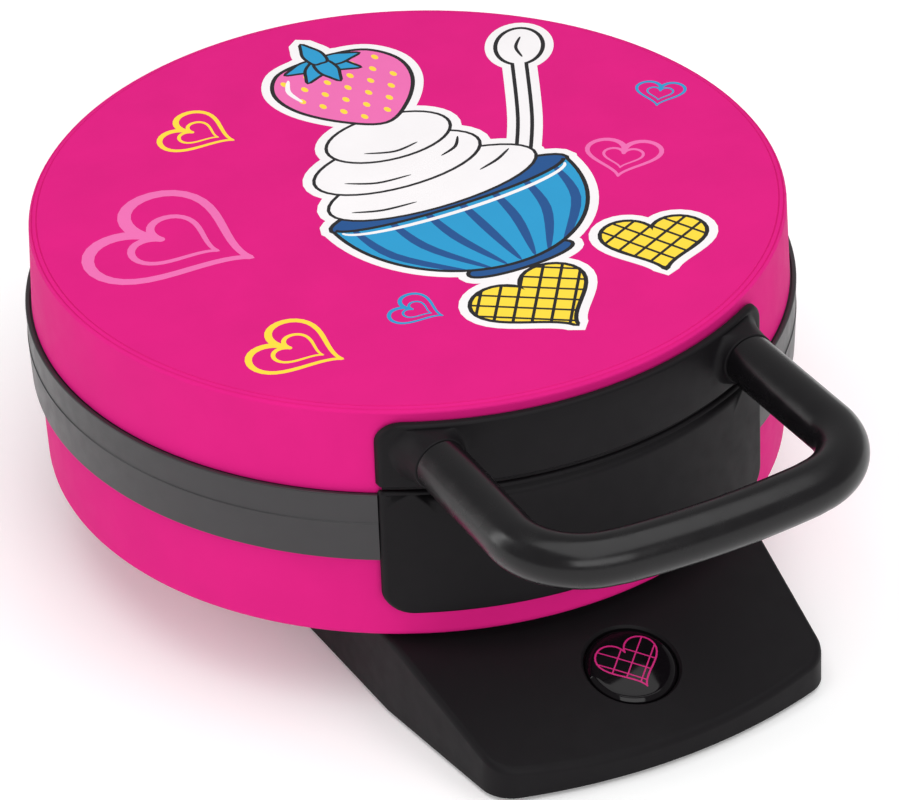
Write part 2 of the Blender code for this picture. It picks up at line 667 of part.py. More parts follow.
def lower_shell():
    """Lower half of the drum, open at the top, with screw bosses on its floor."""
    edge = arc((SHELL_BOTTOM_R - SHELL_EDGE_R, SHELL_BOTTOM_Z + SHELL_EDGE_R), SHELL_EDGE_R, 0, -90, 2)
    floor_z = SHELL_BOTTOM_Z + WALL
    profile = [(0.0, floor_z), (SHELL_BOTTOM_R - WALL - 0.0015, floor_z),
               (SHELL_BOTTOM_R - WALL, floor_z + 0.0015), (SHELL_TOP_R - WALL, SHELL_TOP_Z),
               (SHELL_TOP_R, SHELL_TOP_Z)] + edge + [(0.0, SHELL_BOTTOM_Z)]
    shell = turned("lower_shell", profile, "magenta_plastic")
    join(shell, *posts("floor_boss", POST_AZIMUTHS, HOUSING_SCREW_RADIUS, 0.0046, 0.0252, 0.0285, 12))
    join(shell, *base_posts("floor_post", 0.0042, 0.0252, 0.0340))
    cut(shell, *posts("floor_bore", POST_AZIMUTHS, HOUSING_SCREW_RADIUS, 0.0018, 0.0200, 0.0300))
    cut(shell, *posts("floor_counterbore", POST_AZIMUTHS, HOUSING_SCREW_RADIUS, 0.0036, 0.0200, 0.0262))
    cut(shell, *base_posts("floor_blind", 0.0019, 0.0200, 0.0325))
    for side in (-1, 1):
        cut(shell, rod(f"floor_wire_hole_{side}", 0.0050, 0.0200, 0.0300, "Z",
                       (side * WIRE_HOLE_XY[0], WIRE_HOLE_XY[1]), segments=12))
        cut(shell, rod(f"shell_hinge_hole_{side}", 0.0018, 0.0800, 0.1000, "Y", (side * 0.0210, 0.0380)))
    return shell


def housing_screws():
    for index, azimuth in enumerate(POST_AZIMUTHS):
        bolt(f"housing_screw_{index + 1}", 0.0032, 0.0016, 0.0015, 0.0170,
             around(azimuth, HOUSING_SCREW_RADIUS, 0.0259))


def front_cover():
    """Lower front panel, on the base; it covers the gap in the band."""
    cover, back = front_panel("front_cover", COVER_BOTTOM_Z, COVER_TOP_Z, COVER_CORNER_R,
                              COVER_TOP_CORNER_R, COVER_INNER_R, "black_plastic")
    lip_back = rod("cover_lip_back", COVER_LIP_INNER_R, BAND_TOP_Z, 0.1000, "Z", (0, 0), segments=96)
    return cut(cover, back, lip_back)


def console_outline(inset):
    """Plan of the console, drawn inward from its outer wall by inset."""
    half = CONSOLE_HALF_W - inset
    corner = CONSOLE_CORNER_R - inset
    bow_r = (CONSOLE_FRONT_HALF_W ** 2 + CONSOLE_FRONT_BOW ** 2) / (2 * CONSOLE_FRONT_BOW)
    bow_centre = Vector((0.0, CONSOLE_FRONT_Y - CONSOLE_FRONT_BOW + bow_r))
    bend = Vector((CONSOLE_HALF_W, CONSOLE_BEND_Y))
    along = (Vector((CONSOLE_FRONT_HALF_W, CONSOLE_FRONT_Y)) - bend).normalized()
    inward = Vector((along.y, -along.x))
    start = bend + inward * CONSOLE_CORNER_R - bow_centre
    middle = start.dot(along)
    reach = math.sqrt(middle ** 2 - start.dot(start) + (bow_r - CONSOLE_CORNER_R) ** 2) - middle
    centre = bow_centre + start + along * reach
    side_deg = math.degrees(math.atan2(-inward.y, -inward.x))
    bow_deg = math.degrees(math.atan2(centre.y - bow_centre.y, centre.x))
    right_front = arc(centre, corner, side_deg, bow_deg, 3)
    front = arc(bow_centre, bow_r - inset, bow_deg, -180 - bow_deg, 8)[1:-1]
    left_front = [(-x, y) for x, y in reversed(right_front)]
    rear_y = CONSOLE_REAR_Y - inset
    rear_left = arc((corner - half, rear_y - corner), corner, 180, 90, 4)
    rear_right = arc((half - corner, rear_y - corner), corner, 90, 0, 4)
    bend_y = CONSOLE_BEND_Y + inset * math.tan(math.asin(-along.x) / 2)
    return (rear_right + [(half, bend_y)] + right_front + front + left_front + [(-half, bend_y)]
            + rear_left)


def top_cutter(name, drop):
    """Everything above the console's top: flat under the drum, sloping down to the front."""
    flat_z = CONSOLE_TOP_Z - drop
    front_z = CONSOLE_FRONT_TOP_Z - drop
    far_y = -0.160
    bend_y = CONSOLE_FRONT_Y + (flat_z - front_z) / CONSOLE_SLOPE
    outline = [(far_y, front_z + CONSOLE_SLOPE * (far_y - CONSOLE_FRONT_Y)), (bend_y, flat_z),
               (0.120, flat_z), (0.120, 0.060), (far_y, 0.060)]
    cycle = Matrix(((0, 0, 1, 0), (1, 0, 0, 0), (0, 1, 0, 0), (0, 0, 0, 1)))
    return prism(name, outline, 0.080, Matrix.Translation(at(0, 0, 0)) @ cycle)


def soften(obj, width, segments=2, angle_deg=40):
    bevel = obj.modifiers.new("soften", "BEVEL")
    bevel.width = width
    bevel.segments = segments
    bevel.limit_method = "ANGLE"
    bevel.angle_limit = math.radians(angle_deg)
    return obj


def base_console():
    console = flat_prism("base_console", console_outline(0.0), -0.010, 0.030, "black_plastic")
    cut(console, top_cutter("console_top", 0.0))
    soften(console, CONSOLE_EDGE_R)
    hollow = flat_prism("console_hollow", console_outline(CONSOLE_WALL), -0.012, 0.030)
    cut(hollow, top_cutter("console_hollow_top", WALL))
    cut(console, hollow)
    cut(console, box("console_floor", (-0.08, -0.15, -0.02), (0.08, 0.12, CONSOLE_BOTTOM_Z)))
    join(console, *base_posts("console_post", 0.0042, 0.0063, 0.0228))
    cut(console, *base_posts("console_bore", 0.0020, 0.0050, 0.0250))
    for side in (-1, 1):
        cut(console, rod(f"console_wire_hole_{side}", 0.0050, 0.0190, 0.0250, "Z",
                         (side * WIRE_HOLE_XY[0], WIRE_HOLE_XY[1]), segments=16))
    cut(console, rod("gland_hole", 0.0064, 0.0700, 0.0900, "Y", (0.0, GLAND_Z), segments=16))
    lens_hole = turned("lens_hole", [(0, 0.004), (LENS_R + GAP, 0.004), (LENS_R + GAP, -0.004), (0, -0.004)],
                       segments=24, place=lens_place(), rotation=(LENS_TILT, 0, 0))
    return cut(console, lens_hole)


def bottom_cover():
    """Plate that closes the console, with screw bosses, foot sockets and cooling slots."""
    cover = flat_prism("bottom_cover", console_outline(CONSOLE_WALL + GAP), PAN_Z, PAN_TOP_Z,
                       "black_plastic")
    join(cover, *base_posts("cover_boss", 0.0052, 0.0030, 0.0059, 12))
    cut(cover, *base_posts("cover_bore", 0.0019, 0.0, 0.0070))
    cut(cover, *base_posts("cover_counterbore", 0.0038, 0.0, 0.0042))
    for side in (-1, 1):
        for index, (x, y) in enumerate(FOOT_XY):
            cut(cover, rod(f"foot_socket_{side}_{index}", FOOT_R + 2 * GAP, 0.0, 0.0030, "Z", (side * x, y),
                           segments=12))
            cut(cover, rod(f"foot_stem_hole_{side}_{index}", 0.0024, 0.0, 0.0070, "Z", (side * x, y)))
    for slot in range(5):
        y = -0.030 + slot * 0.009
        cut(cover, box(f"cooling_slot_{slot}", (-0.018, y - 0.0014, 0.0), (0.018, y + 0.0014, 0.006)))
    return cover


def base_screws():
    number = 0
    for y in BASE_SCREW_YS:
        for side in (-1, 1):
            number += 1
            bolt(f"base_screw_{number}", 0.0032, 0.0016, 0.0016, 0.0275,
                 at(side * BASE_SCREW_X, y, 0.0039))


def rubber_feet():
    stem_top = 0.0068
    profile = [(0.0, stem_top), (0.0030, 0.0052), (0.0030, PAN_TOP_Z + GAP),
               (0.0020, PAN_TOP_Z + GAP), (0.0020, 0.0027), (FOOT_R, 0.0027), (FOOT_R, 0.0), (0.0, 0.0)]
    number = 0
    for x, y in FOOT_XY:
        for side in (-1, 1):
            number += 1
            turned(f"rubber_foot_{number}", profile, "foot_rubber", segments=12, place=at(side * x, y, 0))


def lens_place():
    """Centre of the indicator lens on the console's sloping top."""
    return at(0.0, LENS_Y, CONSOLE_FRONT_TOP_Z + CONSOLE_SLOPE * (LENS_Y - CONSOLE_FRONT_Y))


def indicator():
    """Lens in the sloping top, and the lamp in its tray below it."""
    tilt = (LENS_TILT, 0, 0)
    lens = [(0.0, 0.0008), (0.0080, 0.0005), (LENS_R, -0.0004), (LENS_R, -0.0024),
            (LENS_R + 0.0016, -0.0024), (LENS_R + 0.0016, -0.0032), (0.0, -0.0032)]
    turned("indicator_lens", lens, "lens_plastic", segments=24, place=lens_place(), rotation=tilt)
    tray = box("lamp_tray", (-0.011, -0.009, -0.0074), (0.011, 0.009, -0.0035), "white_plastic",
               place=lens_place(), rotation=tilt)
    cut(tray, box("lamp_tray_hollow", (-0.010, -0.008, -0.0066), (0.010, 0.008, 0.0), place=lens_place(),
                  rotation=tilt))
    lamp = [(0.0, 0.0050), (0.0008, 0.0047), (0.0012, 0.0038), (0.0012, -0.0050), (0.0, -0.0050)]
    middle = lens_place() + Matrix.Rotation(LENS_TILT, 3, "X") @ Vector((0, 0, -0.0050))
    turned("indicator_lamp", lamp, "lamp_glass", segments=10, place=middle, rotation=(0, math.pi / 2, 0))


def cord_gland():
    """Bush in the console's rear wall that the mains cord would come out of."""
    wall_in = CONSOLE_REAR_Y - CONSOLE_WALL
    levels = [wall_in - 0.0020, wall_in - GAP, CONSOLE_REAR_Y + GAP, CONSOLE_REAR_Y + 0.0024]
    depth = [CONSOLE_REAR_Y - y for y in levels]
    profile = [(0.0072, depth[0]), (0.0072, depth[1]), (0.0060, depth[1]), (0.0060, depth[2]),
               (0.0080, depth[2]), (0.0074, depth[3]), (GLAND_HOLE_R, depth[3]), (GLAND_HOLE_R, depth[0])]
    return turned("cord_gland", profile, "black_plastic", closed=True, segments=14,
                  place=at(0, CONSOLE_REAR_Y, GLAND_Z), rotation=(math.pi / 2, 0, 0))


def terminal_block():
    block = box("terminal_block", (-0.013, TERMINAL_Y - 0.007, 0.0043), (0.013, TERMINAL_Y + 0.007, 0.0145),
                "white_plastic")
    for way in (-1, 0, 1):
        cut(block, rod(f"terminal_way_{way}", 0.0022, TERMINAL_Y - 0.010, TERMINAL_Y + 0.010, "Y",
                       (way * 0.008, 0.0092), segments=8))
    return block


def thermostat():
    """Snap disc on the back of the lower plate, with two blade terminals."""
    back_z = LOWER_RIM_Z - BOWL_DEPTH - PLATE_THICK
    top = back_z - GAP
    profile = [(0.0, top), (0.0090, top), (0.0090, top - 0.0008), (0.0075, top - 0.0008),
               (0.0075, top - 0.0058), (0.0, top - 0.0058)]
    body = turned("thermostat", profile, "white_plastic", segments=16, place=at(0.024, -0.020, 0))
    for side in (-1, 1):
        join(body, box(f"thermostat_blade_{side}", (side * 0.0036 - 0.0004, -0.0025, 0.0440),
                       (side * 0.0036 + 0.0004, 0.0025, top - 0.0050), place=at(0.024, -0.020, 0)))
    return body


def thermal_fuse():
    """Capsule with two leads, lying under the lower plate."""
    profile = [(0.0, 0.014), (0.0006, 0.014), (0.0006, 0.0085), (0.0020, 0.0075), (0.0020, -0.0080),
               (0.0006, -0.0085), (0.0006, -0.014), (0.0, -0.014)]
    return turned("thermal_fuse", profile, "element_steel", segments=10, place=at(-0.026, -0.018, 0.0536),
                  rotation=(math.pi / 2, 0, 0))


# ---------------------------------------------------------------- hinge and internal leads
def hinge_lid_bracket():
    """Pad on the lid's rear wall with two knuckles, and heels that stop the lid when it is open."""
    pad = box("hinge_lid_bracket", (-0.0168, 0.0900, 0.0690), (0.0168, 0.0993, 0.0852), "black_plastic")
    cut(pad, rod("lid_bracket_back", DRUM_R + 0.00035, 0.05, 0.12, "Z", (0, 0), segments=96))
    for side in (-1, 1):
        near, far = sorted((side * KNUCKLE_X[0], side * KNUCKLE_X[1]))
        knuckle = rod(f"knuckle_{side}", KNUCKLE_R, near, far, "X", (HINGE_Y, HINGE_Z), segments=20)
        arm = box(f"knuckle_arm_{side}", (near + 0.0002, 0.0975, HINGE_Z + 0.0005),
                  (far - 0.0002, HINGE_Y + 0.0011, 0.0748))
        heel = box(f"knuckle_heel_{side}", (near + 0.0003, HINGE_Y - 0.0020, HINGE_Z + 0.0031),
                   (far - 0.0003, HINGE_Y + 0.0022, 0.0770))
        join(pad, knuckle, arm, heel)
    cut(pad, box("lead_notch_lid", (-0.0085, 0.0850, 0.0650), (0.0085, 0.1200, 0.0828)))
    cut(pad, rod("knuckle_bore", HINGE_BORE_R, -0.03, 0.03, "X", (HINGE_Y, HINGE_Z), segments=16))
    for side in (-1, 1):
        cut(pad, rod(f"lid_pad_hole_{side}", 0.0017, 0.0850, 0.0985, "Y", (side * 0.0130, 0.0800)))
    return pad


def hinge_base_bracket():
    """Pad on the base's rear wall with two ears and the wall that the open lid's heels rest on."""
    pad = box("hinge_base_bracket", (-0.0245, 0.0880, 0.0330), (0.0245, 0.0995, 0.0610), "black_plastic")
    web = box("hinge_web", (-0.0240, 0.0980, 0.0470), (0.0240, HINGE_BACK_Y - 0.0004, 0.0508))
    stop = box("hinge_stop", (-0.0238, HINGE_Y + 0.0070, 0.0475), (0.0238, HINGE_BACK_Y, 0.0606))
    join(pad, web, stop)
    for side in (-1, 1):
        near, far = sorted((side * EAR_X[0], side * EAR_X[1]))
        ear = box(f"ear_{side}", (near, 0.0920, 0.0465), (far, HINGE_BACK_Y - 0.0008, 0.0602))
        neck = box(f"ear_neck_{side}", (near, 0.0975, 0.0550), (far, HINGE_Y + 0.0060, HINGE_Z))
        head = rod(f"ear_head_{side}", EAR_R, near, far, "X", (HINGE_Y, HINGE_Z), segments=20)
        join(pad, ear, neck, head)
    clear = [(0.0, 0.0780), (BAND_TOP_R + GAP, 0.0780), (BAND_TOP_R + GAP, 0.0482),
             (SHELL_TOP_R + GAP, 0.0482), (SHELL_TOP_R + GAP, 0.0200), (0.0, 0.0200)]
    cut(pad, turned("base_bracket_back", clear, segments=96))
    cut(pad, box("lead_notch_base", (-0.0088, 0.0850, 0.0530), (0.0088, 0.1050, 0.0700)))
    cut(pad, rod("ear_bore", HINGE_BORE_R, -0.03, 0.03, "X", (HINGE_Y, HINGE_Z), segments=16))
    for side in (-1, 1):
        cut(pad, rod(f"base_pad_hole_{side}", 0.0017, 0.0850, 0.0985, "Y", (side * 0.0210, 0.0380)))
    return pad


def hinge_pins():
    """One headed pin for each ear, so that the space between the knuckles is free for the lead."""
    length = EAR_X[1] - KNUCKLE_X[0] + 0.0006
    profile = [(0.0, 0.0018), (0.0030, 0.0016), (0.0036, GAP), (HINGE_PIN_R, GAP),
               (HINGE_PIN_R, -length), (0.0, -length)]
    for side, word in ((-1, "left"), (1, "right")):
        turned(f"hinge_pin_{word}", profile, "screw_steel", segments=16,
               place=at(side * EAR_X[1], HINGE_Y, HINGE_Z), rotation=(0, side * math.pi / 2, 0))


def hinge_screws():
    back = (-math.pi / 2, 0, 0)
    for side, word in ((-1, "left"), (1, "right")):
        lid_place = at(side * 0.0130, 0.0904, 0.0800)
        base_place = at(side * 0.0210, 0.0878, 0.0380)
        bolt(f"hinge_lid_screw_{word}", 0.0026, 0.0015, 0.0014, 0.0079, lid_place, back)
        bolt(f"hinge_base_screw_{word}", 0.0026, 0.0015, 0.0014, 0.0104, base_place, back)


def internal_leads():
    """Sleeved lead to the lid, parted on the hinge axis where it twists, and two wires in the base."""
    half = GAP / 2
    lower = [(0.0000, 0.0424, 0.0092), (-0.0050, 0.0370, 0.0100), (-0.0150, 0.0310, 0.0150),
             (-0.0180, 0.0300, 0.0230), (-0.0180, 0.0340, 0.0310), (-0.0170, 0.0500, 0.0360),
             (-0.0130, 0.0720, 0.0430), (-0.0060, 0.0850, 0.0534), (-LEAD_X, 0.0915, 0.0569),
             (-LEAD_X, 0.0985, 0.0574), (-LEAD_X, 0.1030, 0.0592), (-0.0046, HINGE_Y, 0.0628),
             (-0.0026, HINGE_Y, 0.0656), (-half, HINGE_Y, HINGE_Z)]
    upper = [(half, HINGE_Y, HINGE_Z), (0.0026, HINGE_Y, 0.0664), (0.0046, HINGE_Y - 0.0004, 0.0692),
             (LEAD_X, 0.1022, 0.0735), (LEAD_X, 0.0985, 0.0772), (LEAD_X, 0.0930, 0.0792),
             (LEAD_X, 0.0860, 0.0798), (0.0060, 0.0740, 0.0808), (0.0050, 0.0600, 0.0809),
             (0.0020, 0.0480, 0.0809), (0.0000, 0.0400, 0.0809)]
    supply = [(0.0080, 0.0424, 0.0092), (0.0100, 0.0370, 0.0100), (0.0160, 0.0310, 0.0150),
              (0.0180, 0.0300, 0.0230), (0.0185, 0.0260, 0.0310), (0.0210, 0.0100, 0.0370),
              (0.0260, -0.0080, 0.0392), (0.0276, -0.0170, 0.0408), (0.0276, -0.0200, 0.0424)]
    lamp = [(-0.0080, 0.0424, 0.0092), (-0.0100, 0.0340, 0.0072), (-0.0140, 0.0000, 0.0066),
            (-0.0130, -0.0500, 0.0066), (-0.0080, -0.0850, 0.0080), (-0.0040, -0.0958, 0.0115)]
    tube("lid_lead_lower", smooth_path([at(*p) for p in lower], 2), LEAD_R, "sleeve_fibre", sides_level=1)
    tube("lid_lead_upper", smooth_path([at(*p) for p in upper], 2), LEAD_R, "sleeve_fibre", sides_level=1)
    tube("supply_wire", smooth_path([at(*p) for p in supply], 2), 0.0012, "white_plastic", sides_level=1)
    tube("lamp_wire", smooth_path([at(*p) for p in lamp], 2), 0.0012, "white_plastic", sides_level=1)


# ---------------------------------------------------------------- bodies
LID_PREFIXES = ("lid_shell", "lid_rim_ring", "lid_screw", "lid_lead_upper", "handle", "upper_", "hinge_lid")


def pivot(name, place):
    empty = bpy.data.objects.new(name, None)
    empty.location = place
    PARTS.objects.link(empty)
    return empty


def assign_bodies():
    """Hang the lid's pieces on its hinge axis, and the others on the drum's axis."""
    lid = pivot("lid_hinge", at(0, HINGE_Y, HINGE_Z))
    base = pivot("base", at(0, 0, 0))
    bpy.context.view_layer.update()
    for obj in list(PARTS.objects):
        if obj.type != "MESH":
            continue
        parent = lid if obj.name.startswith(LID_PREFIXES) else base
        obj.parent = parent
        obj.matrix_parent_inverse = parent.matrix_world.inverted()


def shade_parts():
    for obj in PARTS.objects:
        if obj.type == "MESH":
            obj.data.shade_smooth()
            if obj.data.polygons:
                obj.data.set_sharp_from_angle(angle=math.radians(30))


def build_lid():
    lid_shell()
    lid_rim_ring()
    handle_bracket()
    handle()
    handle_screws()
    lid_screws()
    upper_reflector = heater_stack("upper", UPPER_RIM_Z, -1)
    cut(upper_reflector, rod("reflector_lead_notch", 0.0034, 0.0600, 0.0800, "Y", (0.0056, 0.0806)))


def build_base():
    rim_ring()
    lower_shell()
    front_cover()
    housing_screws()
    base_console()
    bottom_cover()
    base_screws()
    rubber_feet()
    indicator()
    cord_gland()
    terminal_block()
    lower_reflector = heater_stack("lower", LOWER_RIM_Z, 1)
    cut(lower_reflector, rod("reflector_thermostat_hole", 0.0080, 0.0400, 0.0520, "Z", (0.024, -0.020),
                             segments=16))
    thermostat()
    thermal_fuse()


def build_hinge():
    hinge_lid_bracket()
    hinge_base_bracket()
    hinge_pins()
    hinge_screws()
    internal_leads()


build_lid()
build_base()
build_hinge()
assign_bodies()
shade_parts()
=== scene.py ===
"""Looks of the round waffle maker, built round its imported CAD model.

Metres, +Z up, handle towards -Y, hinge towards +Y. The fine pieces stand for CAD nodes of the same
shape. The drum's place comes from the frame, and the sizes below are those of the CAD design about
the drum's axis.
"""
import json
import math

import bmesh
import bpy
import numpy as np
from mathutils import Matrix, Vector
from mathutils.geometry import delaunay_2d_cdt


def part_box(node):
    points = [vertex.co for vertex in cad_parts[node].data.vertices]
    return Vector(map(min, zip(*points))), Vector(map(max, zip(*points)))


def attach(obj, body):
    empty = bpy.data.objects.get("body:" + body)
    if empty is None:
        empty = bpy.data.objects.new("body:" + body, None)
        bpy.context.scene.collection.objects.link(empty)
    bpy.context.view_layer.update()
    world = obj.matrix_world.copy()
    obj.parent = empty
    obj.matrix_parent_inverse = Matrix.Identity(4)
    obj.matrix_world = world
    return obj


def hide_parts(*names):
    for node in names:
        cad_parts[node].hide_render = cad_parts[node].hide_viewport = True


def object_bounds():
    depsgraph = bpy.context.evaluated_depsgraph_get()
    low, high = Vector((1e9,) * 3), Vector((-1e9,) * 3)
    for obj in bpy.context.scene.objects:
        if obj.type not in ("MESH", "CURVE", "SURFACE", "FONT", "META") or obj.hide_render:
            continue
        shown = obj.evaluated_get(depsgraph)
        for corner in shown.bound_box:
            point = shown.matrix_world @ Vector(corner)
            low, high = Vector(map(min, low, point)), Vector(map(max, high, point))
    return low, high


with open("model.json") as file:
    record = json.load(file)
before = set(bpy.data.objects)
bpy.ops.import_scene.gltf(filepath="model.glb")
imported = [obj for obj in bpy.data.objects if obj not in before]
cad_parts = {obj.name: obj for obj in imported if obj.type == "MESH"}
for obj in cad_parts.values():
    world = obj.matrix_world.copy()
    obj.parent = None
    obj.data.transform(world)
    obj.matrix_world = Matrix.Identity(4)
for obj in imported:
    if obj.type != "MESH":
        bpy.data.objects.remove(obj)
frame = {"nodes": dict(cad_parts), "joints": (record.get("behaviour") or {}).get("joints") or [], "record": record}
CAD_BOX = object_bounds()
NODES = frame["nodes"]

# ---------------------------------------------------------------- places from the frame
LID_LOW, LID_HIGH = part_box("lid_shell")
DRUM = Vector(((LID_LOW.x + LID_HIGH.x) / 2, (LID_LOW.y + LID_HIGH.y) / 2, 0.0))
FLOOR_Z = CAD_BOX[0][2]

# ---------------------------------------------------------------- sizes of the visible surfaces
TURN = 160                  # segments of the large turned pieces
ARC = 6                     # steps of a rounded corner

LID_TOP_R = 0.09425
LID_BOTTOM_R = 0.0950
LID_EDGE_Z = 0.0907
LID_CROWN = 0.0005
LID_BOTTOM_Z = 0.0673
CREASE_R = 0.0935

BAND_R = 0.0966
BAND_FOOT_R = 0.0961
BAND_SEAM_R = 0.09635
BAND_TOP_Z = 0.0669
BAND_SEAM_Z = 0.0594
BAND_BOTTOM_Z = 0.0485
BAND_CORE_R = 0.0945
LIP_TOP_Z = 0.0677
LIP_INNER_R = 0.0954

SHELL_TOP_R = 0.0943
SHELL_BOTTOM_R = 0.0934
SHELL_TOP_Z = 0.0482
SHELL_BOTTOM_Z = 0.0240

PANEL_R = 0.0972
PANEL_HALF_W = 0.0530
PANEL_EDGE = 0.0009
BRACKET_Z = (0.0702, 0.0880)
BRACKET_CORNERS = (0.0005, 0.0058)
SKIRT_R = 0.0962
SKIRT_Z = (0.0693, 0.0712)
COVER_Z = (0.0334, 0.0690)
COVER_CORNERS = (0.0062, 0.0010)
COVER_INNER_R = 0.0950
COVER_LIP_INNER_R = 0.0958

HANDLE_Z = 0.0802
HANDLE_TUBE_R = 0.0066
HANDLE_ROOT = Vector((0.04255, -0.0933))
HANDLE_CORNER = Vector((0.0439, -0.1446))
HANDLE_BEND_R = 0.0190
HANDLE_BOW = 0.0047
BOSS_FOOT_R = 0.0088

CONSOLE_Z = (0.0012, 0.0237)
CONSOLE_HALF_W = 0.0512
CONSOLE_BEND_Y = -0.0768
CONSOLE_FRONT = Vector((0.0467, -0.1226))
CONSOLE_FRONT_Z = 0.0098
CONSOLE_BOW = 0.00815
CONSOLE_REAR_Y = 0.0800
CONSOLE_CORNER_R = 0.0090
CONSOLE_SLOPE = 0.31
CONSOLE_WALL = 0.0024
CONSOLE_EDGE = 0.0017

LENS_Y = -0.1075
LENS_R = 0.0114
GLAND_Z = 0.0120

PAN_Z = (0.0020, 0.0040)
BASE_SCREWS = [(side * 0.0380, y) for y in (-0.0600, 0.0580) for side in (-1, 1)]
FEET = [(side * x, y) for x, y in ((0.0360, -0.1040), (0.0400, 0.0690)) for side in (-1, 1)]

PLATE_R = 0.0842
BOWL_R = 0.0773
BOWL_FLOOR_R = 0.0750
BOWL_DEPTH = 0.0070
PLATE_THICK = 0.0030
GRID_PITCH = 0.0175
GRID_ROOT = 0.0115
GRID_TIP = 0.0092
GRID_HEIGHT = 0.0042
SEAT_INNER_R = 0.0802       # ledge that carries a plate's flange
SEAT_R = 0.0846
SEAT_BACK_R = 0.0868
RIM_GROOVE_R = 0.0924
LID_RING_R = 0.0923
POST_AZIMUTHS = (0.0, 120.0, -120.0)
LID_SCREW_RADIUS = 0.0880
HOUSING_SCREW_RADIUS = 0.0865
CLEARANCE = 0.0003
SKIN = 0.00003              # an ink film stands this far above its surface
FILM_ROOT = 0.00002         # and reaches this far below it
MERGE = 1e-7                # distance at which points count as one
PANEL_GRID = (0.0016, 0.0030)
PANEL_BACK_GRID = (0.0030, 0.0060)
PANEL_CORNER_ZONE = 0.010   # no grid points near the panel's rounded corners


# ---------------------------------------------------------------- placing
def at(x, y, z):
    """A place given about the drum's axis, in the object's frame."""
    return Vector((x, y, z)) + DRUM


def around(azimuth_deg, radius, z):
    """A place on a circle about the drum's axis; azimuth 0 is the front."""
    angle = math.radians(azimuth_deg)
    return at(radius * math.sin(angle), -radius * math.cos(angle), z)


def moved(place, rotation=(0, 0, 0)):
    """A matrix that turns by XYZ angles and then moves to a place."""
    turn = Matrix.Identity(4)
    for angle, axis in zip(rotation, "XYZ"):
        turn = Matrix.Rotation(angle, 4, axis) @ turn
    return Matrix.Translation(place) @ turn


# ---------------------------------------------------------------- outlines
def corner_arc(before, here, after, radius, steps):
    """Points of the arc that rounds one corner of a polygon."""
    back = (before - here).normalized()
    ahead = (after - here).normalized()
    half = back.angle(ahead) / 2
    if radius <= 0 or half > math.pi / 2 - 0.001:
        return [here]
    centre = here + (back + ahead).normalized() * radius / math.sin(half)
    start = here + back * radius / math.tan(half) - centre
    end = here + ahead * radius / math.tan(half) - centre
    sweep = start.angle_signed(end)
    first = math.atan2(start.y, start.x)
    points = []
    for step in range(steps + 1):
        angle = first - sweep * step / steps
        points.append(centre + radius * Vector((math.cos(angle), math.sin(angle))))
    return points


def rounded(corners, closed=False, steps=ARC):
    """A polygon or open line whose corners (x, y, radius) are rounded; (x, y) stays sharp."""
    points = []
    count = len(corners)
    for index, corner in enumerate(corners):
        here = Vector(corner[:2])
        radius = corner[2] if len(corner) > 2 else 0.0
        if not closed and index in (0, count - 1):
            radius = 0.0
        before = Vector(corners[index - 1][:2])
        after = Vector(corners[(index + 1) % count][:2])
        points += corner_arc(before, here, after, radius, steps)
    return points


# ---------------------------------------------------------------- mesh builders
def turned(profile, closed=False, segments=TURN, start_deg=0.0, end_deg=360.0, into=None):
    """A mesh of a (radius, height) profile turned about Z. A partial turn gets end caps."""
    work = into or bmesh.new()
    whole = end_deg - start_deg >= 360.0
    count = segments if whole else segments + 1
    rings = []
    for step in range(count):
        angle = math.radians(start_deg + (end_deg - start_deg) * step / segments)
        ring = []
        for index, (radius, height) in enumerate(profile):
            if radius < 1e-7 and rings:
                ring.append(rings[0][index])
                continue
            ring.append(work.verts.new((radius * math.sin(angle), -radius * math.cos(angle), height)))
        rings.append(ring)
    spans = len(profile) if closed else len(profile) - 1
    for step in range(segments):
        here = rings[step]
        there = rings[(step + 1) % count]
        for index in range(spans):
            following = (index + 1) % len(profile)
            corners = [here[index], there[index], there[following], here[following]]
            work.faces.new(list(dict.fromkeys(corners)))
    if not whole:
        work.faces.new(rings[0])
        work.faces.new(list(reversed(rings[-1])))
    return work


def bridge(work, first, second):
    """Quads between two closed loops with the same number of points."""
    count = len(first)
    for index in range(count):
        following = (index + 1) % count
        work.faces.new((first[index], first[following], second[following], second[index]))


def loop_of(work, points):
    return [work.verts.new(point) for point in points]


def swept(path, radius, sides=40, into=None):
    """A round bar along a path, with flat ends."""
    work = into or bmesh.new()
    up = Vector((0, 0, 1))
    loops = []
    side = None
    for index, place in enumerate(path):
        ahead = path[min(index + 1, len(path) - 1)] - path[max(index - 1, 0)]
        ahead.normalize()
        if side is None:
            side = ahead.cross(up)
            if side.length < 0.1:
                side = ahead.cross(Vector((1, 0, 0)))
        side = (side - ahead * side.dot(ahead)).normalized()
        across = ahead.cross(side)
        ring = []
        for step in range(sides):
            angle = 2 * math.pi * step / sides
            ring.append(place + radius * (math.cos(angle) * side + math.sin(angle) * across))
        loops.append(loop_of(work, ring))
    for first, second in zip(loops, loops[1:]):
        bridge(work, first, second)
    work.faces.new(loops[0])
    work.faces.new(list(reversed(loops[-1])))
    return work


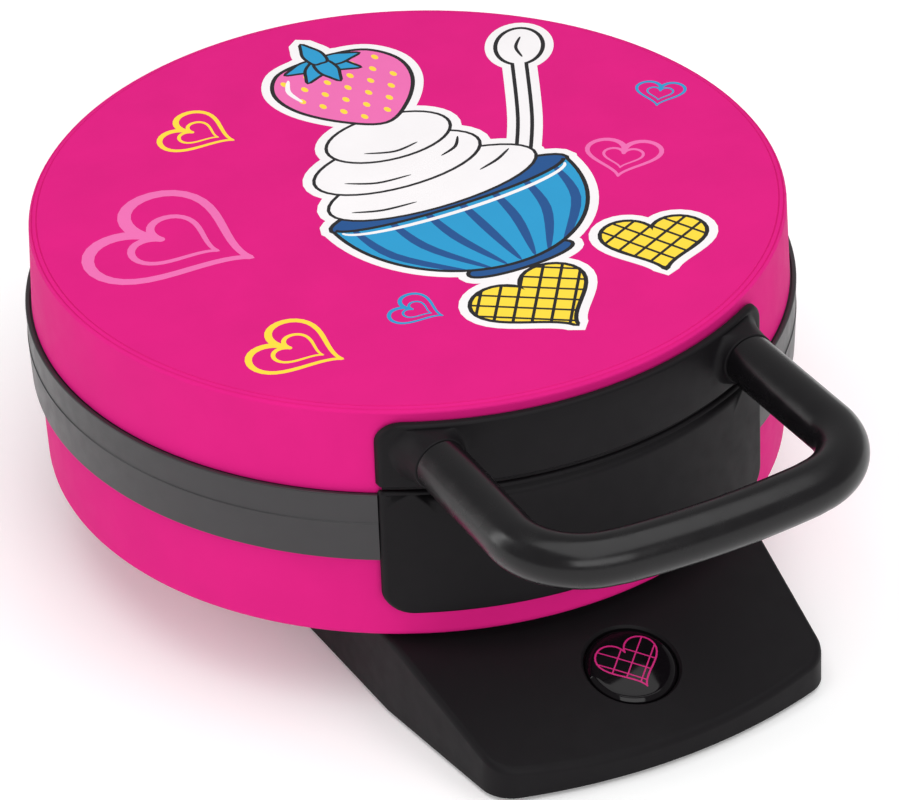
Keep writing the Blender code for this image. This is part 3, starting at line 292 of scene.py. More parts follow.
def slab(outline, low, high, edge=0.0, into=None, steps=4):
    """A flat outline thickened along Z between low and high, with rounded edges. The outline is convex."""
    work = into or bmesh.new()
    count = len(outline)
    normals = []
    for index in range(count):
        along = outline[(index + 1) % count] - outline[index - 1]
        normals.append(Vector((along.y, -along.x)).normalized())
    levels = []
    for step in range(steps + 1 if edge else 1):
        angle = math.pi / 2 * step / steps
        levels.append((edge * (1 - math.sin(angle)), edge * (1 - math.cos(angle))))
    ladder = [(inset, low + rise) for inset, rise in levels]
    ladder += [(inset, high - rise) for inset, rise in reversed(levels)]
    loops = []
    for inset, height in ladder:
        ring = [(*(point - normal * inset), height) for point, normal in zip(outline, normals)]
        loops.append(loop_of(work, ring))
    for first, second in zip(loops, loops[1:]):
        bridge(work, first, second)
    work.faces.new(list(reversed(loops[0])))
    work.faces.new(loops[-1])
    return work


# ---------------------------------------------------------------- finishing pieces
def cleaned(work):
    bmesh.ops.remove_doubles(work, verts=work.verts, dist=MERGE)
    bmesh.ops.recalc_face_normals(work, faces=work.faces)
    return work


def mesh_from(name, work, matrix=None):
    """A mesh object of the finished bmesh, not yet part of any body."""
    if matrix is not None:
        work.transform(matrix)
    cleaned(work)
    mesh = bpy.data.meshes.new(name)
    work.to_mesh(mesh)
    work.free()
    obj = bpy.data.objects.new(name, mesh)
    bpy.context.scene.collection.objects.link(obj)
    return obj


def combined(obj, others, operation="DIFFERENCE"):
    """Cut the others from the mesh, or join them to it, for good, and drop them."""
    for other in others:
        modifier = obj.modifiers.new("combine", "BOOLEAN")
        modifier.operation = operation
        modifier.solver = "EXACT"
        modifier.object = other
    baked(obj)
    for other in others:
        bpy.data.objects.remove(other)
    return obj


def baked(obj):
    """Turn the modifiers' result into the object's own mesh."""
    bpy.context.view_layer.update()
    evaluated = obj.evaluated_get(bpy.context.evaluated_depsgraph_get())
    mesh = bpy.data.meshes.new_from_object(evaluated)
    obj.modifiers.clear()
    obj.data = mesh
    mesh.name = obj.name
    return obj


def softened(obj, width, segments=3, angle_deg=35):
    """Round the sharp edges for good."""
    bevel = obj.modifiers.new("soften", "BEVEL")
    bevel.width = width
    bevel.segments = segments
    bevel.limit_method = "ANGLE"
    bevel.angle_limit = math.radians(angle_deg)
    return baked(obj)


def block(low, high):
    """A box between two corners, to be joined, cut and softened."""
    work = bmesh.new()
    bmesh.ops.create_cube(work, size=1.0)
    for vert in work.verts:
        vert.co = Vector([(a + b) / 2 + (b - a) * share for a, b, share in zip(low, high, vert.co)])
    return mesh_from("block", work, moved(DRUM))


def bar(radius, near, far, place, axis="Z", sides=48):
    """A rod along an axis; place gives the other two coordinates in order."""
    work = turned([(0.0, near), (radius, near), (radius, far), (0.0, far)], segments=sides)
    cycle = {"Z": (0, 1, 2), "X": (2, 0, 1), "Y": (0, 2, 1)}[axis]
    centre = {"Z": (*place, 0.0), "X": (0.0, *place), "Y": (place[0], 0.0, place[1])}[axis]
    for vert in work.verts:
        vert.co = Vector([vert.co[index] for index in cycle]) + Vector(centre)
    return mesh_from("bar", work, moved(DRUM))


def finish_piece(obj, look, body, nodes=(), sharp_deg=32, flat_weight=True):
    """Shade, paint and hang a piece on its body, in place of the CAD nodes that it stands for.

    The look is the name of a CAD material slot, or a material that has no slot."""
    slot = look if isinstance(look, str) else None
    mesh = obj.data
    mesh.materials.clear()
    mesh.materials.append(LOOKS[slot] if slot else look)
    mesh.shade_smooth()
    mesh.set_sharp_from_angle(angle=math.radians(sharp_deg))
    if flat_weight:
        weights = obj.modifiers.new("weighted_normals", "WEIGHTED_NORMAL")
        weights.keep_sharp = True
    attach(obj, body)
    if nodes:
        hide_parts(*nodes)
    return obj


def piece(name, work, look, body, nodes=(), matrix=None, **shading):
    return finish_piece(mesh_from(name, work, matrix), look, body, nodes, **shading)


# ---------------------------------------------------------------- materials
class Look:
    """A Principled material and short ways to add nodes to it."""

    def __init__(self, name, colour, roughness, metallic=0.0):
        self.material = bpy.data.materials.new(name)
        self.material.use_nodes = True
        self.tree = self.material.node_tree
        self.shader = self.tree.nodes["Principled BSDF"]
        self.colour = (*colour, 1.0)
        self.shader.inputs["Base Color"].default_value = self.colour
        self.shader.inputs["Roughness"].default_value = roughness
        self.shader.inputs["Metallic"].default_value = metallic
        self.place = self.tree.nodes.new("ShaderNodeTexCoord").outputs["Object"]

    def set(self, **sockets):
        for socket, value in sockets.items():
            self.shader.inputs[socket.replace("_", " ")].default_value = value
        return self

    def noise(self, scale, detail=4.0, stretch=(1, 1, 1)):
        """A noise value over the object's own coordinates; scale is in features per metre."""
        mapping = self.tree.nodes.new("ShaderNodeMapping")
        mapping.inputs["Scale"].default_value = stretch
        self.tree.links.new(self.place, mapping.inputs["Vector"])
        texture = self.tree.nodes.new("ShaderNodeTexNoise")
        texture.inputs["Scale"].default_value = scale
        texture.inputs["Detail"].default_value = detail
        self.tree.links.new(mapping.outputs["Vector"], texture.inputs["Vector"])
        return texture.outputs["Fac"]

    def ramp(self, value, low, high, from_low=0.3, from_high=0.7):
        """Rescale a value to the range low to high."""
        node = self.tree.nodes.new("ShaderNodeMapRange")
        node.inputs["From Min"].default_value = from_low
        node.inputs["From Max"].default_value = from_high
        node.inputs["To Min"].default_value = low
        node.inputs["To Max"].default_value = high
        self.tree.links.new(value, node.inputs["Value"])
        return node.outputs["Result"]

    def colours(self, value, low, high):
        """Blend between two colours by a value from 0 to 1."""
        node = self.tree.nodes.new("ShaderNodeMix")
        node.data_type = "RGBA"
        node.inputs["A"].default_value = (*low, 1.0)
        node.inputs["B"].default_value = (*high, 1.0)
        self.tree.links.new(value, node.inputs["Factor"])
        self.tree.links.new(node.outputs["Result"], self.shader.inputs["Base Color"])
        return node.outputs["Result"]

    def rough(self, value):
        self.tree.links.new(value, self.shader.inputs["Roughness"])
        return self

    def bump(self, *layers):
        """Stack bump layers of (height value, strength, depth in metres)."""
        normal = None
        for value, strength, depth in layers:
            node = self.tree.nodes.new("ShaderNodeBump")
            node.inputs["Strength"].default_value = strength
            node.inputs["Distance"].default_value = depth
            self.tree.links.new(value, node.inputs["Height"])
            if normal:
                self.tree.links.new(normal, node.inputs["Normal"])
            normal = node.outputs["Normal"]
        self.tree.links.new(normal, self.shader.inputs["Normal"])
        return self


def scaled(colour, factor):
    return tuple(min(1.0, channel * factor) for channel in colour)


def satin_plastic(name, colour, roughness=0.42, gloss=0.5, grain=2600, grain_depth=0.00002, spread=0.05):
    """Moulded plastic: a fine even grain, faint flow marks, handling wear and slight colour drift."""
    look = Look(name, colour, roughness)
    look.set(Specular_IOR_Level=gloss)
    drift = look.ramp(look.noise(55, 4), 0.0, 1.0)
    look.colours(drift, scaled(colour, 1 - spread), scaled(colour, 1 + spread))
    look.rough(look.ramp(look.noise(210, 5), roughness - 0.04, roughness + 0.05))
    look.bump((look.noise(grain, 2), 0.35, grain_depth), (look.noise(70, 2), 0.10, grain_depth * 2))
    return look


def metal(name, colour, roughness=0.3, brushed=(1, 1, 1), scale=900):
    look = Look(name, colour, roughness, 1.0)
    streaks = look.noise(scale, 4, brushed)
    look.colours(look.ramp(streaks, 0.0, 1.0), scaled(colour, 0.80), scaled(colour, 1.10))
    look.rough(look.ramp(streaks, roughness - 0.08, roughness + 0.12))
    look.bump((streaks, 0.25, 0.00002))
    return look


def nonstick(name):
    """Cast plate with a dark sprayed coating: fine sparkle and a slightly pebbled surface."""
    look = Look(name, (0.045, 0.045, 0.048), 0.40, 0.25)
    sparkle = look.ramp(look.noise(5200, 2), 0.0, 1.0, 0.60, 0.78)
    look.colours(sparkle, (0.036, 0.036, 0.039), (0.11, 0.11, 0.12))
    look.rough(look.ramp(look.noise(420, 4), 0.34, 0.52))
    look.bump((look.noise(2600, 3), 0.4, 0.00003), (look.noise(240, 3), 0.25, 0.00008))
    return look


def rubber(name):
    look = Look(name, (0.022, 0.022, 0.024), 0.78)
    look.colours(look.ramp(look.noise(160, 4), 0.0, 1.0), (0.018, 0.018, 0.019), (0.026, 0.026, 0.027))
    look.bump((look.noise(1800, 3), 0.6, 0.00006))
    return look


def braided(name):
    """Woven sleeve of a lead: crossing strands."""
    look = Look(name, (0.05, 0.05, 0.05), 0.85)
    strands = look.noise(1500, 1, (1, 0.25, 1))
    look.colours(look.ramp(strands, 0.0, 1.0), (0.025, 0.025, 0.026), (0.09, 0.087, 0.083))
    look.bump((strands, 0.9, 0.0002))
    return look


MAGENTA = (0.66, 0.0125, 0.20)
LOOKS = {
    "magenta_plastic": satin_plastic("magenta_satin", MAGENTA, 0.60, 0.05, 3200, 0.000012, 0.03).material,
    "band_plastic": satin_plastic("band_charcoal", (0.024, 0.0227, 0.0247), 0.40, 0.46).material,
    "black_plastic": satin_plastic("black_matte", (0.0076, 0.0067, 0.0078), 0.50, 0.11, 1900).material,
    "handle_plastic": satin_plastic("handle_satin", (0.0050, 0.0044, 0.0052), 0.24, 0.30, 2600).material,
    "nonstick_aluminium": nonstick("nonstick_coating").material,
    "element_steel": metal("heat_tinted_steel", (0.30, 0.27, 0.24), 0.38).material,
    "bright_aluminium": metal("bright_sheet", (0.78, 0.78, 0.79), 0.26, (1, 0.06, 1)).material,
    "screw_steel": metal("zinc_steel", (0.62, 0.62, 0.63), 0.28, (1, 1, 0.2), 1600).material,
    "foot_rubber": rubber("foot_rubber").material,
    "white_plastic": satin_plastic("insulator", (0.70, 0.68, 0.62), 0.5, 0.4, 1500, 0.00003, 0.06).material,
    "sleeve_fibre": braided("braided_sleeve").material,
    "lamp_glass": satin_plastic("lamp_envelope", (0.75, 0.30, 0.24), 0.12, 0.5, 900, 0.00001, 0.1).material,
}
INKS = {
    "white": (0.86, 0.83, 0.84), "black": (0.012, 0.011, 0.013), "yellow": (0.93, 0.66, 0.045),
    "cyan": (0.017, 0.30, 0.57), "pink": (0.80, 0.145, 0.42), "blue": (0.010, 0.075, 0.25),
    "icon": (0.55, 0.012, 0.17)}


def ink(colour):
    """Screen print: slightly uneven film, a little glossier than the plastic."""
    return satin_plastic(f"ink_{colour}", INKS[colour], 0.36, 0.25, 4200, 0.000006, 0.02).material


def gloss_black():
    """Polished lens with the faintest marks."""
    look = Look("lens_gloss", (0.0045, 0.0035, 0.0045), 0.06)
    look.set(Coat_Weight=0.06, Coat_Roughness=0.03, Specular_IOR_Level=0.14)
    look.rough(look.ramp(look.noise(300, 5), 0.04, 0.10))
    look.bump((look.noise(900, 3), 0.08, 0.00001))
    return look


LOOKS["lens_plastic"] = gloss_black().material


def paint_cad_nodes():
    """The CAD nodes that stay visible get the look of their material slot."""
    for entry in frame["record"]["subparts"]:
        node = NODES[entry["node"]]
        node.data.materials.clear()
        node.data.materials.append(LOOKS[entry["material_slot"]])


# ---------------------------------------------------------------- drum
def crown_z(radius):
    """Height of the lid's shallow crown."""
    return LID_EDGE_Z + LID_CROWN * (1 - (radius / LID_TOP_R) ** 2)


def lid_cap():
    """Lid: shallow crown, a fine double crease before the rounded edge, and a slightly flared wall."""
    crown = [(LID_TOP_R * step / 24, crown_z(LID_TOP_R * step / 24)) for step in range(24)]
    crease = []
    for radius, drop in ((CREASE_R - 0.0012, 0.0), (CREASE_R, 0.00025)):
        top = crown_z(radius) - drop
        crease += [(radius - 0.0002, top + 0.00002), (radius, top - 0.00026),
                   (radius + 0.0002, top - 0.00005)]
    outside = rounded(crown[:-1] + crease + [
        (LID_TOP_R, LID_EDGE_Z - 0.0010, 0.0011), (LID_TOP_R + 0.0001, LID_EDGE_Z - 0.0044),
        (LID_BOTTOM_R, LID_BOTTOM_Z, 0.0004), (LID_BOTTOM_R - 0.0022, LID_BOTTOM_Z, 0.0004),
        (LID_TOP_R - 0.0022, LID_EDGE_Z - 0.0026, 0.0012), (0.0, LID_EDGE_Z - 0.0021)])
    piece("lid_cap", turned(outside), "magenta_plastic", "lid", ["lid_shell"],
          moved(DRUM), sharp_deg=40)


def band():
    """Dark band: a skirt that stops at the front cover, and the ring behind it."""
    seam = 0.0002
    skirt = rounded([
        (BAND_CORE_R - 0.0001, BAND_TOP_Z), (LIP_INNER_R, BAND_TOP_Z, 0.0001),
        (LIP_INNER_R, LIP_TOP_Z, 0.0002), (BAND_R, LIP_TOP_Z, 0.0004),
        (BAND_SEAM_R, BAND_SEAM_Z + seam, 0.0001), (BAND_R, BAND_SEAM_Z, 0.0001),
        (BAND_FOOT_R, BAND_BOTTOM_Z, 0.0004), (BAND_CORE_R - 0.0001, BAND_BOTTOM_Z)], closed=True, steps=4)
    gap_deg = math.degrees(math.asin((PANEL_HALF_W + 0.0004) / BAND_R))
    work = turned(skirt, True, TURN, gap_deg, 360.0 - gap_deg)
    core = rounded([
        (SEAT_R, BAND_TOP_Z, 0.0004), (BAND_CORE_R, BAND_TOP_Z - 0.00002), (BAND_CORE_R, BAND_BOTTOM_Z),
        (0.0915, BAND_BOTTOM_Z), (0.0915, 0.0430, 0.0003), (0.0894, 0.0430, 0.0003), (0.0894, 0.0510),
        (RIM_GROOVE_R, 0.0510), (RIM_GROOVE_R, 0.0633), (SEAT_BACK_R, 0.0633), (SEAT_BACK_R, 0.0613),
        (SEAT_INNER_R, 0.0613, 0.0004), (SEAT_INNER_R, 0.0633, 0.0004), (SEAT_R, 0.0633)],
        closed=True, steps=3)
    turned(core, True, TURN, into=work)
    piece("drum_band", work, "band_plastic", "base", ["rim_ring"], moved(DRUM))


def drum_shell():
    """Lower half of the drum."""
    profile = rounded([
        (0.0, 0.0262), (SHELL_BOTTOM_R - 0.0030, 0.0262, 0.001), (SHELL_TOP_R - 0.0022, SHELL_TOP_Z, 0.0003),
        (SHELL_TOP_R, SHELL_TOP_Z, 0.0004), (SHELL_BOTTOM_R, SHELL_BOTTOM_Z, 0.0022), (0.0, SHELL_BOTTOM_Z)])
    shell = mesh_from("drum_shell", turned(profile), moved(DRUM))
    sinks = [around(azimuth, HOUSING_SCREW_RADIUS, 0) - DRUM for azimuth in POST_AZIMUTHS]
    combined(shell, [bar(0.0036, 0.0200, 0.0259, spot.to_2d()) for spot in sinks])
    finish_piece(shell, "magenta_plastic", "base", ["lower_shell"])


def lid_ring():
    """Heat-resistant ring inside the lid, with the seat of the upper plate."""
    profile = rounded([
        (LID_RING_R, 0.0712), (LID_RING_R, 0.0675, 0.0004), (SEAT_R, 0.0675, 0.0005), (SEAT_R, 0.0708),
        (SEAT_INNER_R, 0.0708, 0.0004), (SEAT_INNER_R, 0.0728, 0.0004), (SEAT_BACK_R, 0.0728),
        (SEAT_BACK_R, 0.0712)], closed=True, steps=3)
    ring = mesh_from("lid_ring", turned(profile, True), moved(DRUM))
    sinks = [around(azimuth, LID_SCREW_RADIUS, 0) - DRUM for azimuth in POST_AZIMUTHS]
    combined(ring, [bar(0.0030, 0.0660, 0.0696, spot.to_2d()) for spot in sinks])
    finish_piece(ring, "black_plastic", "lid", ["lid_rim_ring"])


# ---------------------------------------------------------------- printed artwork
def smooth(points, closed=False, steps=6):
    """A rounded line through the points (Catmull-Rom)."""
    places = [Vector(point) for point in points]
    count = len(places)
    line = []
    for index in range(count if closed else count - 1):
        near = []
        for shift in (-1, 0, 1, 2):
            spot = index + shift
            near.append(places[spot % count if closed else min(max(spot, 0), count - 1)])
        before, here, there, after = near
        for step in range(steps):
            t = step / steps
            square = 2 * before - 5 * here + 4 * there - after
            cube = 3 * here - before - 3 * there + after
            line.append(0.5 * (2 * here + (there - before) * t + square * t ** 2 + cube * t ** 3))
    return line if closed else line + [places[-1]]


def ellipse_points(x, y, across, up, turn_deg=0.0, steps=40, first_deg=0.0, last_deg=360.0):
    """Points of an ellipse, or of an arc of it when the angles say so."""
    turn = Matrix.Rotation(math.radians(turn_deg), 2)
    whole = last_deg - first_deg >= 360.0
    points = []
    for step in range(steps if whole else steps + 1):
        angle = math.radians(first_deg + (last_deg - first_deg) * step / steps)
        points.append(Vector((x, y)) + turn @ Vector((across * math.cos(angle), up * math.sin(angle))))
    return points


def heart_points(x, y, half_w, half_h, turn_deg=0.0, steps=56):
    """Outline of a plain heart."""
    turn = Matrix.Rotation(math.radians(turn_deg), 2)
    points = []
    for step in range(steps):
        t = 2 * math.pi * step / steps
        up = 13 * math.cos(t) - 5 * math.cos(2 * t) - 2 * math.cos(3 * t) - math.cos(4 * t)
        spot = Vector((-half_w * math.sin(t) ** 3, half_h * (up + 2.5) / 14.5))
        points.append(Vector((x, y)) + turn @ spot)
    return points


def signed_area(outline):
    return sum(outline[index - 1].cross(outline[index]) for index in range(len(outline))) / 2


def grown(outline, distance):
    """The outline moved outwards, good for smooth shapes."""
    side = 1.0 if signed_area(outline) > 0 else -1.0
    moved_points = []
    count = len(outline)
    for index in range(count):
        along = outline[(index + 1) % count] - outline[index - 1]
        if along.length < 1e-9:
            continue
        moved_points.append(outline[index] + side * distance * Vector((along.y, -along.x)).normalized())
    return moved_points


def ribbon(points, halves):
    """Quads and round ends of a brush line with a half width at each point."""
    count = len(points)
    lefts, rights = [], []
    for index in range(count):
        along = points[min(index + 1, count - 1)] - points[max(index - 1, 0)]
        side = halves[index] * Vector((-along.y, along.x)).normalized()
        lefts.append(points[index] + side)
        rights.append(points[index] - side)
    shapes = [[rights[k], rights[k + 1], lefts[k + 1], lefts[k]] for k in range(count - 1)]
    for index in (0, count - 1):
        shapes.append(ellipse_points(*points[index], halves[index], halves[index], steps=12))
    return shapes


def stroke(points, width, taper=0.0):
    """A brush line of one width; taper thins both of its ends."""
    last = len(points) - 1
    swell = [math.sin(math.pi * index / last) ** 0.6 for index in range(last + 1)]
    return ribbon(points, [width / 2 * (1 - taper * (1 - share)) for share in swell])


def covered(places, outline):
    """Which places lie inside an outline, by its winding number."""
    corners = np.array([tuple(point) for point in outline])
    near = ((places >= corners.min(axis=0)) & (places <= corners.max(axis=0))).all(axis=1)
    chosen = places[near]
    winding = np.zeros(len(chosen), int)
    for first, second in zip(corners, np.roll(corners, -1, axis=0)):
        run, rise = second - first
        side = run * (chosen[:, 1] - first[1]) - rise * (chosen[:, 0] - first[0])
        winding += (first[1] <= chosen[:, 1]) & (second[1] > chosen[:, 1]) & (side > 0)
        winding -= (first[1] > chosen[:, 1]) & (second[1] <= chosen[:, 1]) & (side < 0)
    found = np.zeros(len(places), bool)
    found[near] = winding != 0
    return found


class Artwork:
    """Flat coloured shapes painted one over another, then cut so that no two of them overlap."""

    def __init__(self):
        self.layers = []

    def add(self, colour, shapes, clip=None):
        """Paint shapes, maybe only inside an earlier layer. Shapes without a colour only mark a region."""
        self.layers.append((colour, shapes, clip))
        return len(self.layers) - 1

    def cut_up(self, pitch):
        """All the points and, for each colour, the triangles where it lies on top."""
        points, edges = [], []
        for _, shapes, _ in self.layers:
            for shape in shapes:
                first = len(points)
                edges += [(first + index, first + (index + 1) % len(shape)) for index in range(len(shape))]
                points += shape
        low = Vector((min(p.x for p in points), min(p.y for p in points)))
        high = Vector((max(p.x for p in points), max(p.y for p in points)))
        for column in range(1, int((high.x - low.x) / pitch)):
            for row in range(1, int((high.y - low.y) / pitch)):
                points.append(low + pitch * Vector((column, row)))
        spots, _, triangles = delaunay_2d_cdt(points, edges, [], 0, MERGE)[:3]
        places = np.array([tuple(spot) for spot in spots])
        colours = self.colours_at(places[np.array(triangles)].mean(axis=1))
        films = {}
        for triangle, colour in zip(triangles, colours):
            if colour:
                films.setdefault(colour, []).append(triangle)
        return spots, films

    def colours_at(self, places):
        """The topmost colour at each of many places, or an empty word."""
        masks = []
        colours = np.full(len(places), "", dtype=object)
        for colour, shapes, clip in self.layers:
            mask = np.zeros(len(places), bool)
            for shape in shapes:
                mask |= covered(places, shape)
            masks.append(mask)
            if colour:
                colours[mask if clip is None else mask & masks[clip]] = colour
        return colours

    def lay(self, name, body, height, lift, matrix, pitch=0.006):
        """Lay the films on a surface whose height is given for each spot."""
        spots, films = self.cut_up(pitch)
        for colour, triangles in films.items():
            work = film(spots, triangles, height, lift)
            piece(f"print_{name}_{colour}", work, ink(colour), body, matrix=matrix, flat_weight=False)


def film(spots, triangles, height, lift):
    """A very thin closed slab over the triangles."""
    work = bmesh.new()
    tops, lows = {}, {}
    for index in {index for triangle in triangles for index in triangle}:
        spot = spots[index]
        tops[index] = work.verts.new((*spot, height(spot) + lift))
        lows[index] = work.verts.new((*spot, height(spot) - FILM_ROOT))
    runs = set()
    for triangle in triangles:
        work.faces.new([tops[index] for index in triangle])
        work.faces.new([lows[index] for index in reversed(triangle)])
        runs |= {(triangle[index - 1], triangle[index]) for index in range(len(triangle))}
    for first, second in runs:
        if (second, first) not in runs:
            work.faces.new((tops[second], tops[first], lows[first], lows[second]))
    return work


# Colour, centre and half size in millimetres about the drum's axis, and turn in degrees.
LOOSE_HEARTS = (
    ("yellow", (-29.4, 54.8), (10.5, 9.5), 38), ("pink", (-57.6, 11.4), (22.5, 20.5), 38),
    ("yellow", (-54.8, -46.8), (12.5, 11.5), 38), ("cyan", (-22.4, -46.6), (7.2, 6.6), 38),
    ("pink", (55.0, -12.0), (10.0, 9.2), -38), ("cyan", (79.0, 10.2), (6.6, 6.2), -38))
HEART_RINGS = ((0.94, 0.16), (0.50, 0.10))      # share of the half size, and brush width as a share of it


def loose_hearts(art):
    """Plain hearts drawn as two nested brush lines that swell towards the lobes."""
    for colour, centre, half, turn_deg in LOOSE_HEARTS:
        for share, thick in HEART_RINGS:
            line = heart_points(*centre, share * half[0], share * half[1], turn_deg)
            count = len(line)
            swell = [0.75 + 0.25 * math.cos(2 * math.pi * index / count) for index in range(count + 1)]
            art.add(colour, ribbon(line + line[:1], [half[0] * thick / 2 * factor for factor in swell]))


def outlined(art, colour, outline, line=1.1):
    """A filled shape with a black contour."""
    art.add("black", [grown(outline, line)])
    return art.add(colour, [outline])


def berry_leaf(turn_deg):
    """A slim pointed leaf that leaves the middle of the berry's top in the given direction."""
    along = Vector((math.cos(math.radians(turn_deg)), math.sin(math.radians(turn_deg))))
    side = Vector((-along.y, along.x))
    line = smooth([(0.0, 0.0), (0.3, 1.7), (4.5, 2.2), (8.0, 1.0), (10.5, 0.0)])
    half = [Vector((13, 70)) + along * p.x + side * p.y for p in line]
    return half + [Vector((13, 70)) + along * p.x - side * p.y for p in reversed(line[1:-1])]


def dessert_shapes():
    """Outlines of the things in the picture, in millimetres about the drum's axis."""
    rim = ellipse_points(10, -4, 33, 6.5)
    body = ellipse_points(10, -5, 32.6, 35, steps=40, first_deg=180)
    body += list(reversed(ellipse_points(10, -4, 33, 6.5, steps=30, first_deg=180)[1:-1]))
    berry = smooth([(13, 35), (22, 41), (29, 51), (30.5, 61), (26, 69), (18, 71.5), (13, 70), (8, 71.5),
                    (0, 69), (-4.5, 61), (-3, 51), (4, 41)], closed=True)
    return {
        "spoon_head": ellipse_points(60.5, 50, 5.6, 8.8, -33), "rim": rim, "body": body, "berry": berry,
        "foot": ellipse_points(10, -39.5, 14, 3.4),
        "lobes": [ellipse_points(9, 3, 28.5, 11), ellipse_points(6, 16, 22.5, 11),
                  ellipse_points(10, 28, 16.5, 10)],
        "waffles": [heart_points(5, -59, 15.5, 13.0, 9), heart_points(42, -51, 12.8, 11.4, -20)],
        "leaves": [berry_leaf(turn_deg) for turn_deg in (185, 225, 315, 355, 270, 90)]}


def dessert(art):
    """Generic picture: a bowl of cream with a berry and a spoon, and two heart waffles below."""
    shapes = dessert_shapes()
    singles = [shapes[key] for key in ("spoon_head", "rim", "body", "berry", "foot")]
    every = singles + shapes["lobes"] + shapes["waffles"] + shapes["leaves"]
    handle = smooth([(33, 0), (44, 18), (57, 44)])
    art.add("white", [grown(shape, 3.3) for shape in every] + stroke(handle, 9.0))
    art.add("black", stroke(handle, 4.6) + [grown(shapes["spoon_head"], 1.1)])
    art.add("white", stroke(handle, 2.6) + [shapes["spoon_head"]])
    art.add("black", stroke(smooth([(58.5, 45), (59.5, 50), (63, 54)]), 0.9, 0.6))
    outlined(art, "blue", shapes["foot"])
    outlined(art, "blue", shapes["rim"])
    for lobe in shapes["lobes"]:
        outlined(art, "white", lobe, 0.9)
    for fold in (((-15, 1), (-8, -2), (1, -3)), ((-10, 14), (-3, 10), (6, 9)), ((1, 24), (8, 21), (15, 22)),
                 ((22, 2), (28, 4), (33, 7)), ((17, 13), (22, 15), (25, 19))):
        art.add("black", stroke(smooth(fold), 0.9, 0.7))
    body = outlined(art, "cyan", shapes["body"])
    for flute in range(-3, 4):
        line = smooth([(10 + 9.6 * flute, -3), (10 + 8.6 * flute, -22), (10 + 3.6 * flute, -41)])
        art.add("blue", stroke(line, 2.6, 1.2), body)
    shine = ellipse_points(10, -6.0, 31.6, 6.4, steps=30, first_deg=184, last_deg=356)
    art.add("white", stroke(shine, 1.3, 0.5), body)
    berry(art, shapes)
    for outline, turn_deg in zip(shapes["waffles"], (9, -20)):
        waffle(art, outline, turn_deg)


def berry(art, shapes):
    fruit = outlined(art, "pink", shapes["berry"])
    for row, count in enumerate((5, 4, 5, 4, 3, 2)):
        for column in range(count):
            spot = (13 + 6.6 * (column - (count - 1) / 2), 65 - 5.0 * row)
            art.add("yellow", [ellipse_points(*spot, 0.8, 1.35, steps=14)], fruit)
    art.add("white", stroke(smooth([(1.5, 66), (-1.0, 61), (-0.4, 55)]), 1.3, 0.6), fruit)
    for leaf in shapes["leaves"]:
        outlined(art, "cyan", leaf, 0.9)


def waffle(art, outline, turn_deg):
    """Heart waffle with a ruled grid."""
    face = outlined(art, "yellow", outline)
    middle = sum(outline, Vector((0.0, 0.0))) / len(outline)
    turn = Matrix.Rotation(math.radians(turn_deg + 45), 2)
    for offset in range(-4, 5):
        for reach in (Vector((18.0, 0.0)), Vector((0.0, 18.0))):
            shift = Vector((reach.y, reach.x)).normalized() * offset * 4.6
            ends = [middle + turn @ (shift - reach), middle + turn @ (shift + reach)]
            art.add("black", stroke(ends, 0.8), face)


def in_metres(art):
    scaled_art = Artwork()
    for colour, shapes, clip in art.layers:
        scaled_art.add(colour, [[0.001 * point for point in shape] for shape in shapes], clip)
    return scaled_art


def lid_prints():
    """The lid's screen print: plain hearts round a picture, one thin film for each ink."""
    art = Artwork()
    loose_hearts(art)
    dessert(art)
    in_metres(art).lay("lid", "lid", lambda spot: crown_z(spot.length), SKIN, moved(DRUM))


# ---------------------------------------------------------------- front panels and handle
def panel_outline(inset, low, high, low_r, high_r):
    """Outline of a front panel in (x, z); straight runs are divided so that they can follow the curve."""
    half = PANEL_HALF_W - inset
    bottom_r = max(low_r - inset, 0.0002)
    top_r = max(high_r - inset, 0.0002)
    corners = rounded([
        (-half, low + inset, bottom_r), (half, low + inset, bottom_r),
        (half, high - inset, top_r), (-half, high - inset, top_r)], closed=True, steps=8)
    points = []
    for first, second in zip(corners, corners[1:] + corners[:1]):
        run = second - first
        parts = 1
        if run.length > 0.004:
            parts = 60 if abs(run.x) > abs(run.y) else 8
        points += [first.lerp(second, part / parts) for part in range(parts)]
    return points


def on_panel(x, z, depth=0.0, radius=PANEL_R):
    """A point of a front panel's curved face, set back by depth."""
    return Vector((x, depth - math.sqrt(radius ** 2 - x ** 2), z))


def flat_fill(outline, holes, pitch):
    """Triangles of a convex flat region with round holes (centre, radius, points), over a grid of points."""
    points = list(outline)
    edges = [(index, (index + 1) % len(outline)) for index in range(len(outline))]
    for _, _, ring in holes:
        first = len(points)
        points += ring
        edges += [(first + index, first + (index + 1) % len(ring)) for index in range(len(ring))]
    low = Vector((min(p.x for p in outline), min(p.y for p in outline)))
    high = Vector((max(p.x for p in outline), max(p.y for p in outline)))
    columns = int((high.x - low.x) / pitch[0])
    rows = int((high.y - low.y) / pitch[1])
    for column in range(1, columns):
        for row in range(1, rows):
            spot = Vector((low.x + (high.x - low.x) * column / columns,
                           low.y + (high.y - low.y) * row / rows))
            if any((spot - centre).length < radius + 0.0004 for centre, radius, _ in holes):
                continue
            level = low.y + PANEL_CORNER_ZONE < spot.y < high.y - PANEL_CORNER_ZONE
            if abs(spot.x) - high.x + PANEL_CORNER_ZONE > 0.0 and not level:
                continue
            points.append(spot)
    spots, _, triangles = delaunay_2d_cdt(points, edges, [], 0, MERGE)[:3]
    middles = np.array([tuple(spot) for spot in spots])[np.array(triangles)].mean(axis=1)
    inside = np.zeros(len(triangles), bool)
    for _, _, ring in holes:
        inside |= covered(middles, ring)
    return spots, [triangle for triangle, skip in zip(triangles, inside) if not skip]


